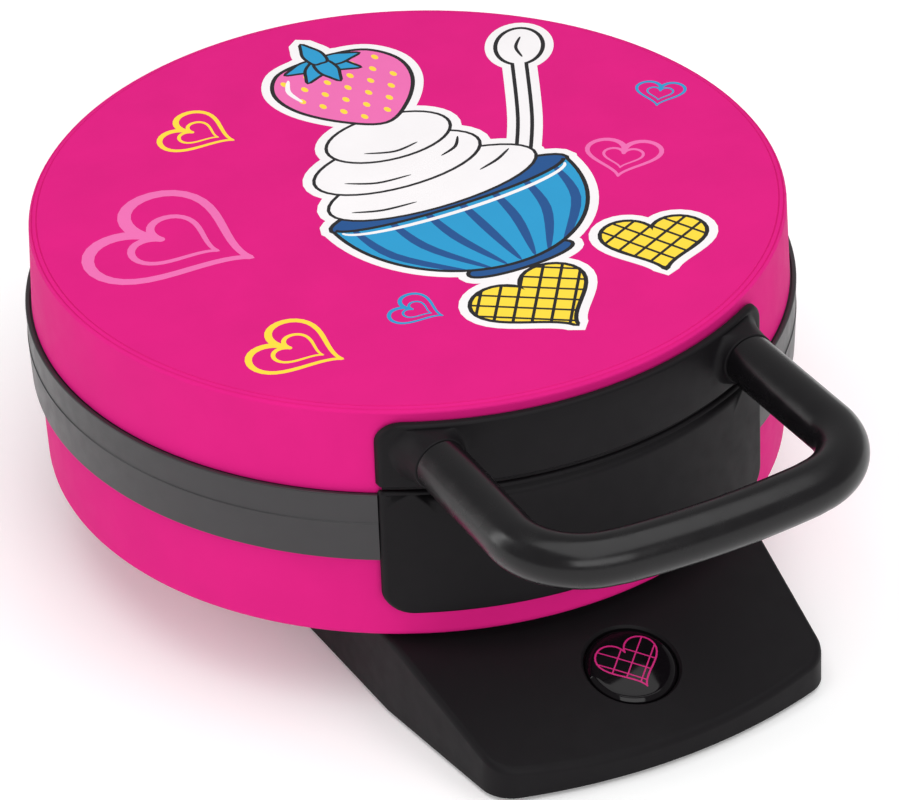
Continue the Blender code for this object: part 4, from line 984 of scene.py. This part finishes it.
def front_panel(low, high, low_r, high_r, back_r, bosses=()):
    """Curved panel with rounded edges; each boss (x, z, foot radius, tip radius, tip y) grows out of it."""
    work = bmesh.new()
    steps = 5
    loops = []
    back = [on_panel(p.x, p.y, 0.0, back_r) for p in panel_outline(0.0, low, high, low_r, high_r)]
    loops.append(loop_of(work, back))
    for step in range(steps + 1):
        angle = math.pi / 2 * step / steps
        inset = PANEL_EDGE * (1 - math.cos(angle))
        depth = PANEL_EDGE * (1 - math.sin(angle))
        rim = panel_outline(inset, low, high, low_r, high_r)
        loops.append(loop_of(work, [on_panel(p.x, p.y, depth) for p in rim]))
    for first, second in zip(loops, loops[1:]):
        bridge(work, first, second)
    sides = 64
    holes = []
    for x, z, foot, _, _ in bosses:
        ring = [Vector(boss_foot(x, z, foot, high, 2 * math.pi * k / sides)) for k in range(sides)]
        holes.append((Vector((x, z)), foot, ring))
    spots, triangles = flat_fill(rim, holes, PANEL_GRID)
    face = [work.verts.new(on_panel(p.x, p.y)) for p in spots]
    for triangle in triangles:
        work.faces.new([face[index] for index in triangle])
    for boss in bosses:
        boss_fillet(work, boss, high, sides)
    spots, triangles = flat_fill(panel_outline(0.0, low, high, low_r, high_r), [], PANEL_BACK_GRID)
    behind = [work.verts.new(on_panel(p.x, p.y, 0.0, back_r)) for p in spots]
    for triangle in triangles:
        work.faces.new([behind[index] for index in triangle])
    bmesh.ops.remove_doubles(work, verts=work.verts, dist=2e-6)
    return work


def boss_foot(x, z, foot, high, turn):
    """A point of the circle where a boss leaves the panel; it stays below the panel's rounded top edge."""
    return x + foot * math.cos(turn), min(z + foot * math.sin(turn), high - PANEL_EDGE - 0.0002)


def boss_fillet(work, boss, high, sides):
    """Concave quarter-ellipse from the panel's face up to the boss's round tip."""
    x, z, foot, tip, tip_y = boss
    rise_steps = 14
    rings = []
    for step in range(rise_steps + 1):
        angle = math.pi / 2 * step / rise_steps
        radius = foot - (foot - tip) * math.sin(angle)
        share = 1 - math.cos(angle)
        ring = []
        for side in range(sides):
            turn = 2 * math.pi * side / sides
            root = on_panel(*boss_foot(x, z, foot, high, turn))
            straight = z + radius * math.sin(turn)
            ring.append(Vector((x + radius * math.cos(turn), root.y + (tip_y + 0.0003 - root.y) * share,
                                straight + (min(straight, root.z) - straight) * (1 - share))))
        rings.append(loop_of(work, ring))
    for inset, drop in ((0.0002, 0.00022), (0.0006, 0.0003)):
        ring = [Vector((x + (tip - inset) * math.cos(2 * math.pi * k / sides), tip_y + 0.0003 - drop,
                        z + (tip - inset) * math.sin(2 * math.pi * k / sides))) for k in range(sides)]
        rings.append(loop_of(work, ring))
    for first, second in zip(rings, rings[1:]):
        bridge(work, first, second)
    work.faces.new(rings[-1])


def curved_strip(work, radii, heights, half_w):
    """A plain strip concentric with the drum, centred on the front."""
    reach = math.degrees(math.asin(half_w / radii[1]))
    low, high = heights
    profile = [(radii[0], low), (radii[1], low), (radii[1], high), (radii[0], high)]
    turned(profile, True, 60, -reach, reach, work)


def front_panels():
    bosses = [(side * HANDLE_ROOT.x, HANDLE_Z, BOSS_FOOT_R, HANDLE_TUBE_R + CLEARANCE, HANDLE_ROOT.y)
              for side in (-1, 1)]
    back_r = LID_BOTTOM_R + 0.0003
    work = front_panel(*BRACKET_Z, *BRACKET_CORNERS, back_r, bosses)
    curved_strip(work, (back_r, SKIRT_R), SKIRT_Z, PANEL_HALF_W - 0.0008)
    piece("handle_bracket_face", work, "black_plastic", "lid", ["handle_bracket"],
          moved(DRUM), flat_weight=False)
    work = front_panel(*COVER_Z, *COVER_CORNERS, COVER_LIP_INNER_R)
    heights = (COVER_Z[0] + 0.0040, BAND_TOP_Z - 0.0001)
    curved_strip(work, (COVER_INNER_R, COVER_LIP_INNER_R + 0.0001), heights, PANEL_HALF_W - 0.0006)
    piece("front_cover_face", work, "black_plastic", "base", ["front_cover"],
          moved(DRUM), flat_weight=False)


def handle_path():
    """Centreline of the handle in plan, from the left boss round to the right one."""
    bow_r = (HANDLE_CORNER.x ** 2 + HANDLE_BOW ** 2) / (2 * HANDLE_BOW)
    middle_y = HANDLE_CORNER.y - HANDLE_BOW
    front = []
    for step in range(9):
        x = HANDLE_CORNER.x * (1 - step / 8)
        front.append((x, middle_y + bow_r - math.sqrt(bow_r ** 2 - x ** 2)))
    leg = [(HANDLE_ROOT.x, HANDLE_ROOT.y - 0.0003)]
    half = rounded(leg + [(*front[0], HANDLE_BEND_R)] + [front[4]], steps=24)[:-1]
    reach = half[-1].x
    for step in range(1, 13):
        x = reach * (1 - step / 12)
        half.append(Vector((x, middle_y + bow_r - math.sqrt(bow_r ** 2 - x ** 2))))
    other = [Vector((-p.x, p.y)) for p in reversed(half[:-1])]
    line = half + other
    run = []
    for first, second in zip(line, line[1:]):
        parts = max(1, int((second - first).length / 0.003))
        run += [first.lerp(second, part / parts) for part in range(parts)]
    return [at(p.x, p.y, HANDLE_Z) for p in run + [line[-1]]]


def grip():
    path = handle_path()
    piece("grip", swept(path, HANDLE_TUBE_R, 48), "handle_plastic", "lid", ["handle"],
          flat_weight=False, sharp_deg=50)


# ---------------------------------------------------------------- console
def console_half(inset):
    """Right half of the console's plan, from the rear middle round to the front middle."""
    bow_r = (CONSOLE_FRONT.x ** 2 + CONSOLE_BOW ** 2) / (2 * CONSOLE_BOW) - inset
    bow_y = CONSOLE_FRONT.y - CONSOLE_BOW + bow_r + inset
    corner = CONSOLE_CORNER_R - inset
    bend = Vector((CONSOLE_HALF_W, CONSOLE_BEND_Y))
    along = (CONSOLE_FRONT - bend).normalized()
    inward = Vector((along.y, -along.x))
    start = bend + inward * (inset + corner) - Vector((0.0, bow_y))
    middle = start.dot(along)
    reach = -middle + math.sqrt(middle ** 2 - start.dot(start) + (bow_r - corner) ** 2)
    centre = start + along * reach + Vector((0.0, bow_y))
    side_end = centre - inward * corner
    bow_start = centre + (centre - Vector((0.0, bow_y))).normalized() * corner
    first = math.atan2(side_end.y - centre.y, side_end.x - centre.x)
    last = math.atan2(bow_start.y - centre.y, bow_start.x - centre.x)
    side_x = CONSOLE_HALF_W - inset
    rear_y = CONSOLE_REAR_Y - inset
    rear_corner = rounded([(0.0, rear_y), (side_x, rear_y, corner), (side_x, 0.0)], steps=10)
    half = rear_corner[:-1]
    flat_end = half[-1].y
    for step in range(1, 13):
        half.append(Vector((side_x, flat_end + (CONSOLE_BEND_Y - flat_end) * step / 12)))
    for step in range(1, 6):
        half.append(half[-1].lerp(side_end, 1 / (6 - step)))
    for step in range(1, 13):
        angle = first + (last - first) * step / 12
        half.append(centre + corner * Vector((math.cos(angle), math.sin(angle))))
    for step in range(1, 13):
        x = bow_start.x * (1 - step / 12)
        half.append(Vector((x, bow_y - math.sqrt(bow_r ** 2 - x ** 2))))
    return half


def console_plan(inset):
    """The whole outline of the console in plan."""
    half = console_half(inset)
    return half + [Vector((-p.x, p.y)) for p in reversed(half[1:-1])]


def console_top(y, drop=0.0):
    """Height of the console's top: level under the drum, then sloping to the front."""
    slope = CONSOLE_FRONT_Z + CONSOLE_SLOPE * (y - CONSOLE_FRONT.y)
    return min(CONSOLE_Z[1], slope) - drop


def console_shell(inset, low, edge, top_drop):
    """Side walls, rounded top edge and top face of the console's outer or inner surface."""
    work = bmesh.new()
    loops = []
    levels = [(0.0, None)]
    for step in range(6):
        angle = math.pi / 2 * step / 5
        levels.append((edge * (1 - math.cos(angle)), edge * (1 - math.sin(angle))))
    for shift, drop in levels:
        loops.append(loop_of(work, [(p.x, p.y, low if drop is None else console_top(p.y, top_drop + drop))
                                    for p in console_plan(inset + shift)]))
    for first, second in zip(loops, loops[1:]):
        bridge(work, first, second)
    top = loops[-1]
    count = len(top)
    for index in range(count // 2):
        corners = [top[index], top[index + 1], top[-(index + 1) % count], top[-index % count]]
        work.faces.new(list(dict.fromkeys(corners)))
    return work, loops[0]


def lens_matrix():
    """Frame of the indicator lens, its Z along the slope's normal."""
    place = at(0.0, LENS_Y, console_top(LENS_Y))
    return moved(place, (math.atan(CONSOLE_SLOPE), 0, 0))


def gland_matrix():
    """Frame of the cord's inlet, its Z out of the console's rear wall."""
    return moved(at(0.0, CONSOLE_REAR_Y, GLAND_Z), (math.pi / 2, 0, 0))


def console():
    """Wedge-shaped foot: hollow, open below, with the lens seat and the gland hole."""
    outer, outer_rim = console_shell(0.0, CONSOLE_Z[0], CONSOLE_EDGE, 0.0)
    inner, _ = console_shell(CONSOLE_WALL, CONSOLE_Z[0], 0.0008, 0.0022)
    rim_places = [vert.co.copy() for vert in outer_rim]
    joined = bpy.data.meshes.new("inner")
    inner.to_mesh(joined)
    inner.free()
    outer.from_mesh(joined)
    bpy.data.meshes.remove(joined)
    rim_in = loop_of(outer, [(p.x, p.y, CONSOLE_Z[0]) for p in console_plan(CONSOLE_WALL)])
    rim_out = loop_of(outer, rim_places)
    bridge(outer, rim_out, rim_in)
    body = mesh_from("console_body", outer, moved(DRUM))
    wall_r = LENS_R + 0.0004
    mouth_r = LENS_R + 0.0013
    seat = rounded([(0.0, -0.0060), (wall_r, -0.0060), (wall_r, -0.0006), (mouth_r, 0.0003),
                    (mouth_r, 0.0060), (0.0, 0.0060)])
    cutters = [mesh_from("lens_cutter", turned(seat, segments=96), lens_matrix())]
    bore = [(0.0, 0.0100), (0.0063, 0.0100), (0.0063, -0.0100), (0.0, -0.0100)]
    cutters.append(mesh_from("gland_cutter", turned(bore, segments=48), gland_matrix()))
    combined(body, cutters)
    finish_piece(body, "black_plastic", "base", ["base_console"])


def lens_height(radius):
    """Height of the lens's slightly domed face over the console's slope."""
    return 0.0007 - 0.0003 * (radius / (LENS_R - 0.0012)) ** 2


def lens():
    """Polished disc with a turned-down rim, sunk in its seat, and its printed icon."""
    reach = LENS_R - 0.0012
    dome = [(reach * step / 8, lens_height(reach * step / 8)) for step in range(8)]
    profile = rounded(dome + [
        (reach, lens_height(reach), 0.002), (LENS_R, -0.0008, 0.0008), (LENS_R, -0.0024),
        (LENS_R + 0.0016, -0.0024), (LENS_R + 0.0016, -0.0032), (0.0, -0.0032)], steps=8)
    piece("lens_disc", turned(profile, segments=96), "lens_plastic", "base", ["indicator_lens"],
          lens_matrix())
    art = Artwork()
    outline = [0.001 * point for point in heart_points(0.0, -0.3, 8.1, 7.4)]
    art.add("icon", stroke(outline + outline[:1], 0.00045))
    inside = art.add("", [outline])
    for offset in (-0.0036, 0.0, 0.0036):
        for way in (Vector((1, 1)), Vector((1, -1))):
            middle = offset * Vector((way.y, -way.x)).normalized()
            reach = 0.011 * way.normalized()
            art.add("icon", stroke([middle - reach, middle + reach], 0.00035), inside)
    art.lay("lens", "base", lambda spot: lens_height(spot.length), 0.00002, lens_matrix())


def gland():
    """Rubbery bush round the empty inlet, with a beaded mouth."""
    profile = rounded([
        (0.0036, 0.0044, 0.0004), (0.0036, -0.0024, 0.0006), (0.0074, -0.0024, 0.0008),
        (0.0080, -0.0003, 0.0003), (0.0060, -0.0003), (0.0060, 0.0027), (0.0072, 0.0027),
        (0.0072, 0.0044)], closed=True, steps=5)
    piece("gland_bush", turned(profile, True, 72), "black_plastic", "base", ["cord_gland"], gland_matrix())


def bottom_plate():
    """Plate that closes the console: cooling slots with round ends, foot sockets and sunk screws."""
    plan = console_plan(CONSOLE_WALL + 0.0003)
    plate = mesh_from("bottom_plate", slab(list(reversed(plan)), *PAN_Z, 0.0004), moved(DRUM))
    combined(plate, [bar(0.0052, 0.0030, 0.0059, spot) for spot in BASE_SCREWS], "UNION")
    cutters = [bar(0.0038, 0.0, 0.0042, spot) for spot in BASE_SCREWS]
    cutters += [bar(0.0071, 0.0, 0.0030, spot) for spot in FEET]
    for index in range(5):
        y = -0.030 + 0.009 * index
        cutters.append(block((-0.0166, y - 0.0014, 0.0), (0.0166, y + 0.0014, 0.006)))
        cutters += [bar(0.0014, -0.0003, 0.0063, (side * 0.0166, y)) for side in (-1, 1)]
    combined(plate, cutters)
    finish_piece(plate, "black_plastic", "base", ["bottom_cover"])


def feet():
    """Pressed-in rubber feet with a rounded tread and a shallow ring."""
    profile = rounded([
        (0.0, 0.0), (0.0030, 0.0), (0.0034, 0.0004), (0.0040, 0.0004), (0.0044, 0.0), (0.0065, 0.0, 0.0008),
        (0.0065, 0.0027, 0.0003), (0.0020, 0.0027), (0.0020, 0.0043), (0.0030, 0.0043), (0.0030, 0.0052),
        (0.0, 0.0068)], steps=5)
    for number, (x, y) in enumerate(FEET, 1):
        piece(f"foot_{number}", turned(profile, segments=64), "foot_rubber", "base",
              [f"rubber_foot_{number}"], moved(at(x, y, 0.0)))


# ---------------------------------------------------------------- screws
def screw(name, node, body, head_r, head_h, shank_r, length, place):
    """Pan-head screw with a cross recess; its shank points up."""
    profile = rounded([
        (0.0, -head_h * 1.05), (head_r * 0.6, -head_h, head_r), (head_r, -head_h * 0.35, head_r * 0.3),
        (head_r, 0.0), (shank_r, 0.0), (shank_r, length - shank_r), (0.0, length)], steps=5)
    obj = mesh_from(name, turned(profile, segments=40), moved(place))
    arms = []
    for reach in ((head_r * 0.62, head_r * 0.15), (head_r * 0.15, head_r * 0.62)):
        work = bmesh.new()
        bmesh.ops.create_cube(work, size=2.0)
        for vert in work.verts:
            taper = 1.0 if vert.co.z < 0 else 0.55
            vert.co = Vector((vert.co.x * reach[0] * taper, vert.co.y * reach[1] * taper,
                              -head_h * (1.3 if vert.co.z < 0 else 0.35)))
        arms.append(mesh_from("cross", work, moved(place)))
    combined(obj, arms)
    finish_piece(obj, "screw_steel", body, [node])


def screws():
    for index, azimuth in enumerate(POST_AZIMUTHS, 1):
        screw(f"lid_ring_screw_{index}", f"lid_screw_{index}", "lid", 0.0025, 0.0013, 0.0015, 0.0125,
              around(azimuth, LID_SCREW_RADIUS, 0.0695))
        screw(f"shell_screw_{index}", f"housing_screw_{index}", "base", 0.0032, 0.0016, 0.0015, 0.0170,
              around(azimuth, HOUSING_SCREW_RADIUS, 0.0259))
    for index, spot in enumerate(BASE_SCREWS, 1):
        screw(f"foot_screw_{index}", f"base_screw_{index}", "base", 0.0032, 0.0016, 0.0016, 0.0275,
              at(*spot, 0.0039))


# ---------------------------------------------------------------- cooking plates
def square_ring(x, y, half, corner, height, steps=4):
    """Loop of a block at one height: a square with rounded corners."""
    outline = rounded([(x - half, y - half, corner), (x + half, y - half, corner),
                       (x + half, y + half, corner), (x - half, y + half, corner)], closed=True, steps=steps)
    return [(p.x, p.y, height) for p in outline]


def grid_block(work, x, y, level):
    """One pocket-forming block: flared root, tapered sides and a rounded tip."""
    root = GRID_ROOT / 2
    tip = GRID_TIP / 2
    ladder = [(root + 0.0009, 0.0016, -0.00005), (root + 0.00035, 0.0014, 0.00012), (root, 0.0013, 0.0006),
              (tip + 0.0002, 0.0012, GRID_HEIGHT - 0.0008), (tip - 0.0001, 0.0011, GRID_HEIGHT - 0.0003),
              (tip - 0.0006, 0.0008, GRID_HEIGHT)]
    loops = [loop_of(work, square_ring(x, y, half, corner, level(BOWL_DEPTH - rise)))
             for half, corner, rise in ladder]
    for first, second in zip(loops, loops[1:]):
        bridge(work, first, second)
    work.faces.new(loops[0])
    work.faces.new(loops[-1])


def cooking_plate(name, node, body, rim_z, direction):
    """Cast plate with a grid of blocks; direction 1 opens upward, -1 downward."""
    def level(depth):
        return rim_z - direction * depth

    back = BOWL_DEPTH + PLATE_THICK
    profile = rounded([
        (0.0, level(BOWL_DEPTH)), (BOWL_FLOOR_R, level(BOWL_DEPTH), 0.0022), (BOWL_R, level(0), 0.0008),
        (PLATE_R, level(0), 0.0006), (PLATE_R, level(0.0030), 0.0005), (0.0798, level(0.0030)),
        (0.0785, level(back), 0.0010), (0.0, level(back))], steps=5)
    work = turned(profile)
    reach = [side * step for step in (1, 3, 5, 7) for side in (-1, 1)]
    for column in reach:
        for row in reach:
            if column ** 2 + row ** 2 <= 64:
                grid_block(work, column * GRID_PITCH / 2, row * GRID_PITCH / 2, level)
    piece(name, work, "nonstick_aluminium", body, [node], moved(DRUM))


# ---------------------------------------------------------------- hinge
HINGE_PLACE = Vector(frame["joints"][0]["pos_m"]) - DRUM
HINGE_Y = round(HINGE_PLACE.y, 5)
HINGE_Z = round(HINGE_PLACE.z, 5)
HINGE_BORE_R = 0.0022
HINGE_BORE_REACH = 0.03


def hinge_lid_half():
    """Pad on the lid's rear wall with two knuckles and their stop heels."""
    pad = softened(block((-0.0168, 0.0905, 0.0690), (0.0168, 0.0993, 0.0852)), 0.0010)
    for side in (-1, 1):
        near, far = sorted((side * 0.0102, side * 0.0172))
        arm = block((near + 0.0002, 0.0975, HINGE_Z + 0.0005), (far - 0.0002, HINGE_Y + 0.0011, 0.0748))
        heel = block((near + 0.0003, HINGE_Y - 0.0020, HINGE_Z + 0.0031),
                     (far - 0.0003, HINGE_Y + 0.0022, 0.0770))
        knuckle = bar(0.0065, near, far, (HINGE_Y, HINGE_Z), "X", 64)
        combined(pad, [knuckle, arm, heel], "UNION")
    back = bar(LID_BOTTOM_R + 0.00035, 0.05, 0.12, (0.0, 0.0), sides=TURN)
    notch = block((-0.0085, 0.0850, 0.0650), (0.0085, 0.1200, 0.0828))
    bore = bar(HINGE_BORE_R, -HINGE_BORE_REACH, HINGE_BORE_REACH, (HINGE_Y, HINGE_Z), "X", 32)
    combined(pad, [back, notch, bore])
    softened(pad, 0.00035, 2, 40)
    pad.name = "hinge_lid_half"
    finish_piece(pad, "black_plastic", "lid", ["hinge_lid_bracket"])


def hinge_base_half():
    """Pad on the base's rear wall with two ears and the wall that stops the open lid."""
    pad = softened(block((-0.0245, 0.0880, 0.0330), (0.0245, 0.0995, 0.0610)), 0.0010)
    web = block((-0.0240, 0.0980, 0.0470), (0.0240, 0.1146, 0.0508))
    stop = block((-0.0238, 0.1120, 0.0475), (0.0238, 0.1150, 0.0606))
    parts = [web, stop]
    for side in (-1, 1):
        near, far = sorted((side * 0.0175, side * 0.0245))
        parts.append(block((near, 0.0920, 0.0465), (far, 0.1142, 0.0602)))
        parts.append(block((near, 0.0975, 0.0550), (far, 0.1110, HINGE_Z)))
        parts.append(bar(0.0068, near, far, (HINGE_Y, HINGE_Z), "X", 64))
    combined(pad, parts, "UNION")
    band_r = BAND_R + CLEARANCE
    shell_r = SHELL_TOP_R + CLEARANCE
    clear = [(0.0, 0.0780), (band_r, 0.0780), (band_r, SHELL_TOP_Z), (shell_r, SHELL_TOP_Z),
             (shell_r, 0.0200), (0.0, 0.0200)]
    back = mesh_from("clear", turned(clear), moved(DRUM))
    notch = block((-0.0088, 0.0850, 0.0530), (0.0088, 0.1050, 0.0700))
    bore = bar(HINGE_BORE_R, -HINGE_BORE_REACH, HINGE_BORE_REACH, (HINGE_Y, HINGE_Z), "X", 32)
    combined(pad, [back, notch, bore])
    softened(pad, 0.00035, 2, 40)
    pad.name = "hinge_base_half"
    finish_piece(pad, "black_plastic", "base", ["hinge_base_bracket"])


def hinge_pins():
    """Domed pins pressed into the ears from outside."""
    profile = rounded([(0.0, 0.0018), (0.0036, 0.0014, 0.0016), (0.0036, 0.0003, 0.0002), (0.0020, 0.0003),
                       (0.0020, -0.0149, 0.0004), (0.0, -0.0149)], steps=6)
    for side, word in ((-1, "left"), (1, "right")):
        place = moved(at(side * 0.0245, HINGE_Y, HINGE_Z), (0, side * math.pi / 2, 0))
        piece(f"pin_{word}", turned(profile, segments=48), "screw_steel", "base", [f"hinge_pin_{word}"],
              place)


# ---------------------------------------------------------------- studio
AZIMUTH = math.radians(-27.55)
ELEVATION = math.radians(33.89)
CAMERA_DISTANCE = 1.618
CAMERA_TARGET_Z = 0.0225
CAMERA_PAN = math.radians(-0.31)
CAMERA_TILT = math.radians(0.23)
CAMERA_ROLL = math.radians(2.4)
LENS_LENGTH = 254.3
WORLD_LIGHT = 0.42
LIGHT_TARGET_Z = 0.05
FLOOR_GLOW = 0.12           # lifts the pink bounce and the soft shadow on the white ground
LIGHTS = {                  # azimuth, elevation (degrees), distance, size (metres), power (watts)
    "overhead": (10, 76, 1.6, (1.9, 1.9), 21),
    "front": (-15, 24, 1.9, (1.5, 0.7), 11.5),
    "left": (-122, 16, 1.3, (0.30, 1.1), 4.6),
}


def direction(azimuth, elevation):
    """The way out from the object at these angles; azimuth 0 is the front."""
    return Vector((math.sin(azimuth) * math.cos(elevation), -math.cos(azimuth) * math.cos(elevation),
                   math.sin(elevation)))


def camera():
    """Long lens over the front left of the object."""
    target = at(0.0, 0.0, CAMERA_TARGET_Z)
    back = direction(AZIMUTH, ELEVATION)
    forward = -back
    right = Vector((math.cos(AZIMUTH), math.sin(AZIMUTH), 0.0))
    up = right.cross(forward)
    pan = Matrix.Rotation(CAMERA_PAN, 3, up)
    forward = pan @ forward
    right = pan @ right
    tilt = Matrix.Rotation(CAMERA_TILT, 3, right)
    forward = tilt @ forward
    up = tilt @ up
    roll = Matrix.Rotation(CAMERA_ROLL, 3, forward)
    right = roll @ right
    up = roll @ up
    data = bpy.data.cameras.new("camera")
    data.lens = LENS_LENGTH
    data.sensor_width = 36.0
    data.clip_end = 20.0
    obj = bpy.data.objects.new("camera", data)
    bpy.context.scene.collection.objects.link(obj)
    turn = Matrix((right, up, -forward)).transposed().to_4x4()
    obj.matrix_world = Matrix.Translation(target + back * CAMERA_DISTANCE) @ turn
    bpy.context.scene.camera = obj


def area_light(name, azimuth_deg, elevation_deg, distance, size, power):
    """A rectangular softbox that looks at the object."""
    away = direction(math.radians(azimuth_deg), math.radians(elevation_deg))
    data = bpy.data.lights.new(name, "AREA")
    data.shape = "RECTANGLE"
    data.size = size[0]
    data.size_y = size[1]
    data.energy = power
    obj = bpy.data.objects.new(name, data)
    bpy.context.scene.collection.objects.link(obj)
    obj.location = at(0.0, 0.0, LIGHT_TARGET_Z) + away * distance
    obj.rotation_euler = (-away).to_track_quat("-Z", "Y").to_euler()


def studio():
    world = bpy.data.worlds.new("studio")
    world.use_nodes = True
    world.node_tree.nodes["Background"].inputs["Color"].default_value = (1.0, 1.0, 1.0, 1.0)
    world.node_tree.nodes["Background"].inputs["Strength"].default_value = WORLD_LIGHT
    bpy.context.scene.world = world
    bpy.context.scene.view_settings.view_transform = "Standard"
    for name, (azimuth, elevation, distance, size, power) in LIGHTS.items():
        area_light(name, azimuth, elevation, distance, size, power)
    floor = bmesh.new()
    bmesh.ops.create_grid(floor, x_segments=1, y_segments=1, size=6.0)
    obj = mesh_from("floor", floor, Matrix.Translation((0.0, 0.0, FLOOR_Z - 0.0001)))
    look = Look("floor_white", (0.96, 0.96, 0.96), 0.85)
    look.set(Specular_IOR_Level=0.2, Emission_Color=(1.0, 1.0, 1.0, 1.0), Emission_Strength=FLOOR_GLOW)
    look.rough(look.ramp(look.noise(12, 3), 0.8, 0.9))
    obj.data.materials.append(look.material)


paint_cad_nodes()
lid_cap()
lid_prints()
lid_ring()
band()
drum_shell()
front_panels()
grip()
console()
lens()
gland()
bottom_plate()
feet()
screws()
cooking_plate("plate_lower", "lower_plate", "base", 0.0666, 1)
cooking_plate("plate_upper", "upper_plate", "lid", 0.0675, -1)
hinge_lid_half()
hinge_base_half()
hinge_pins()
camera()
studio()
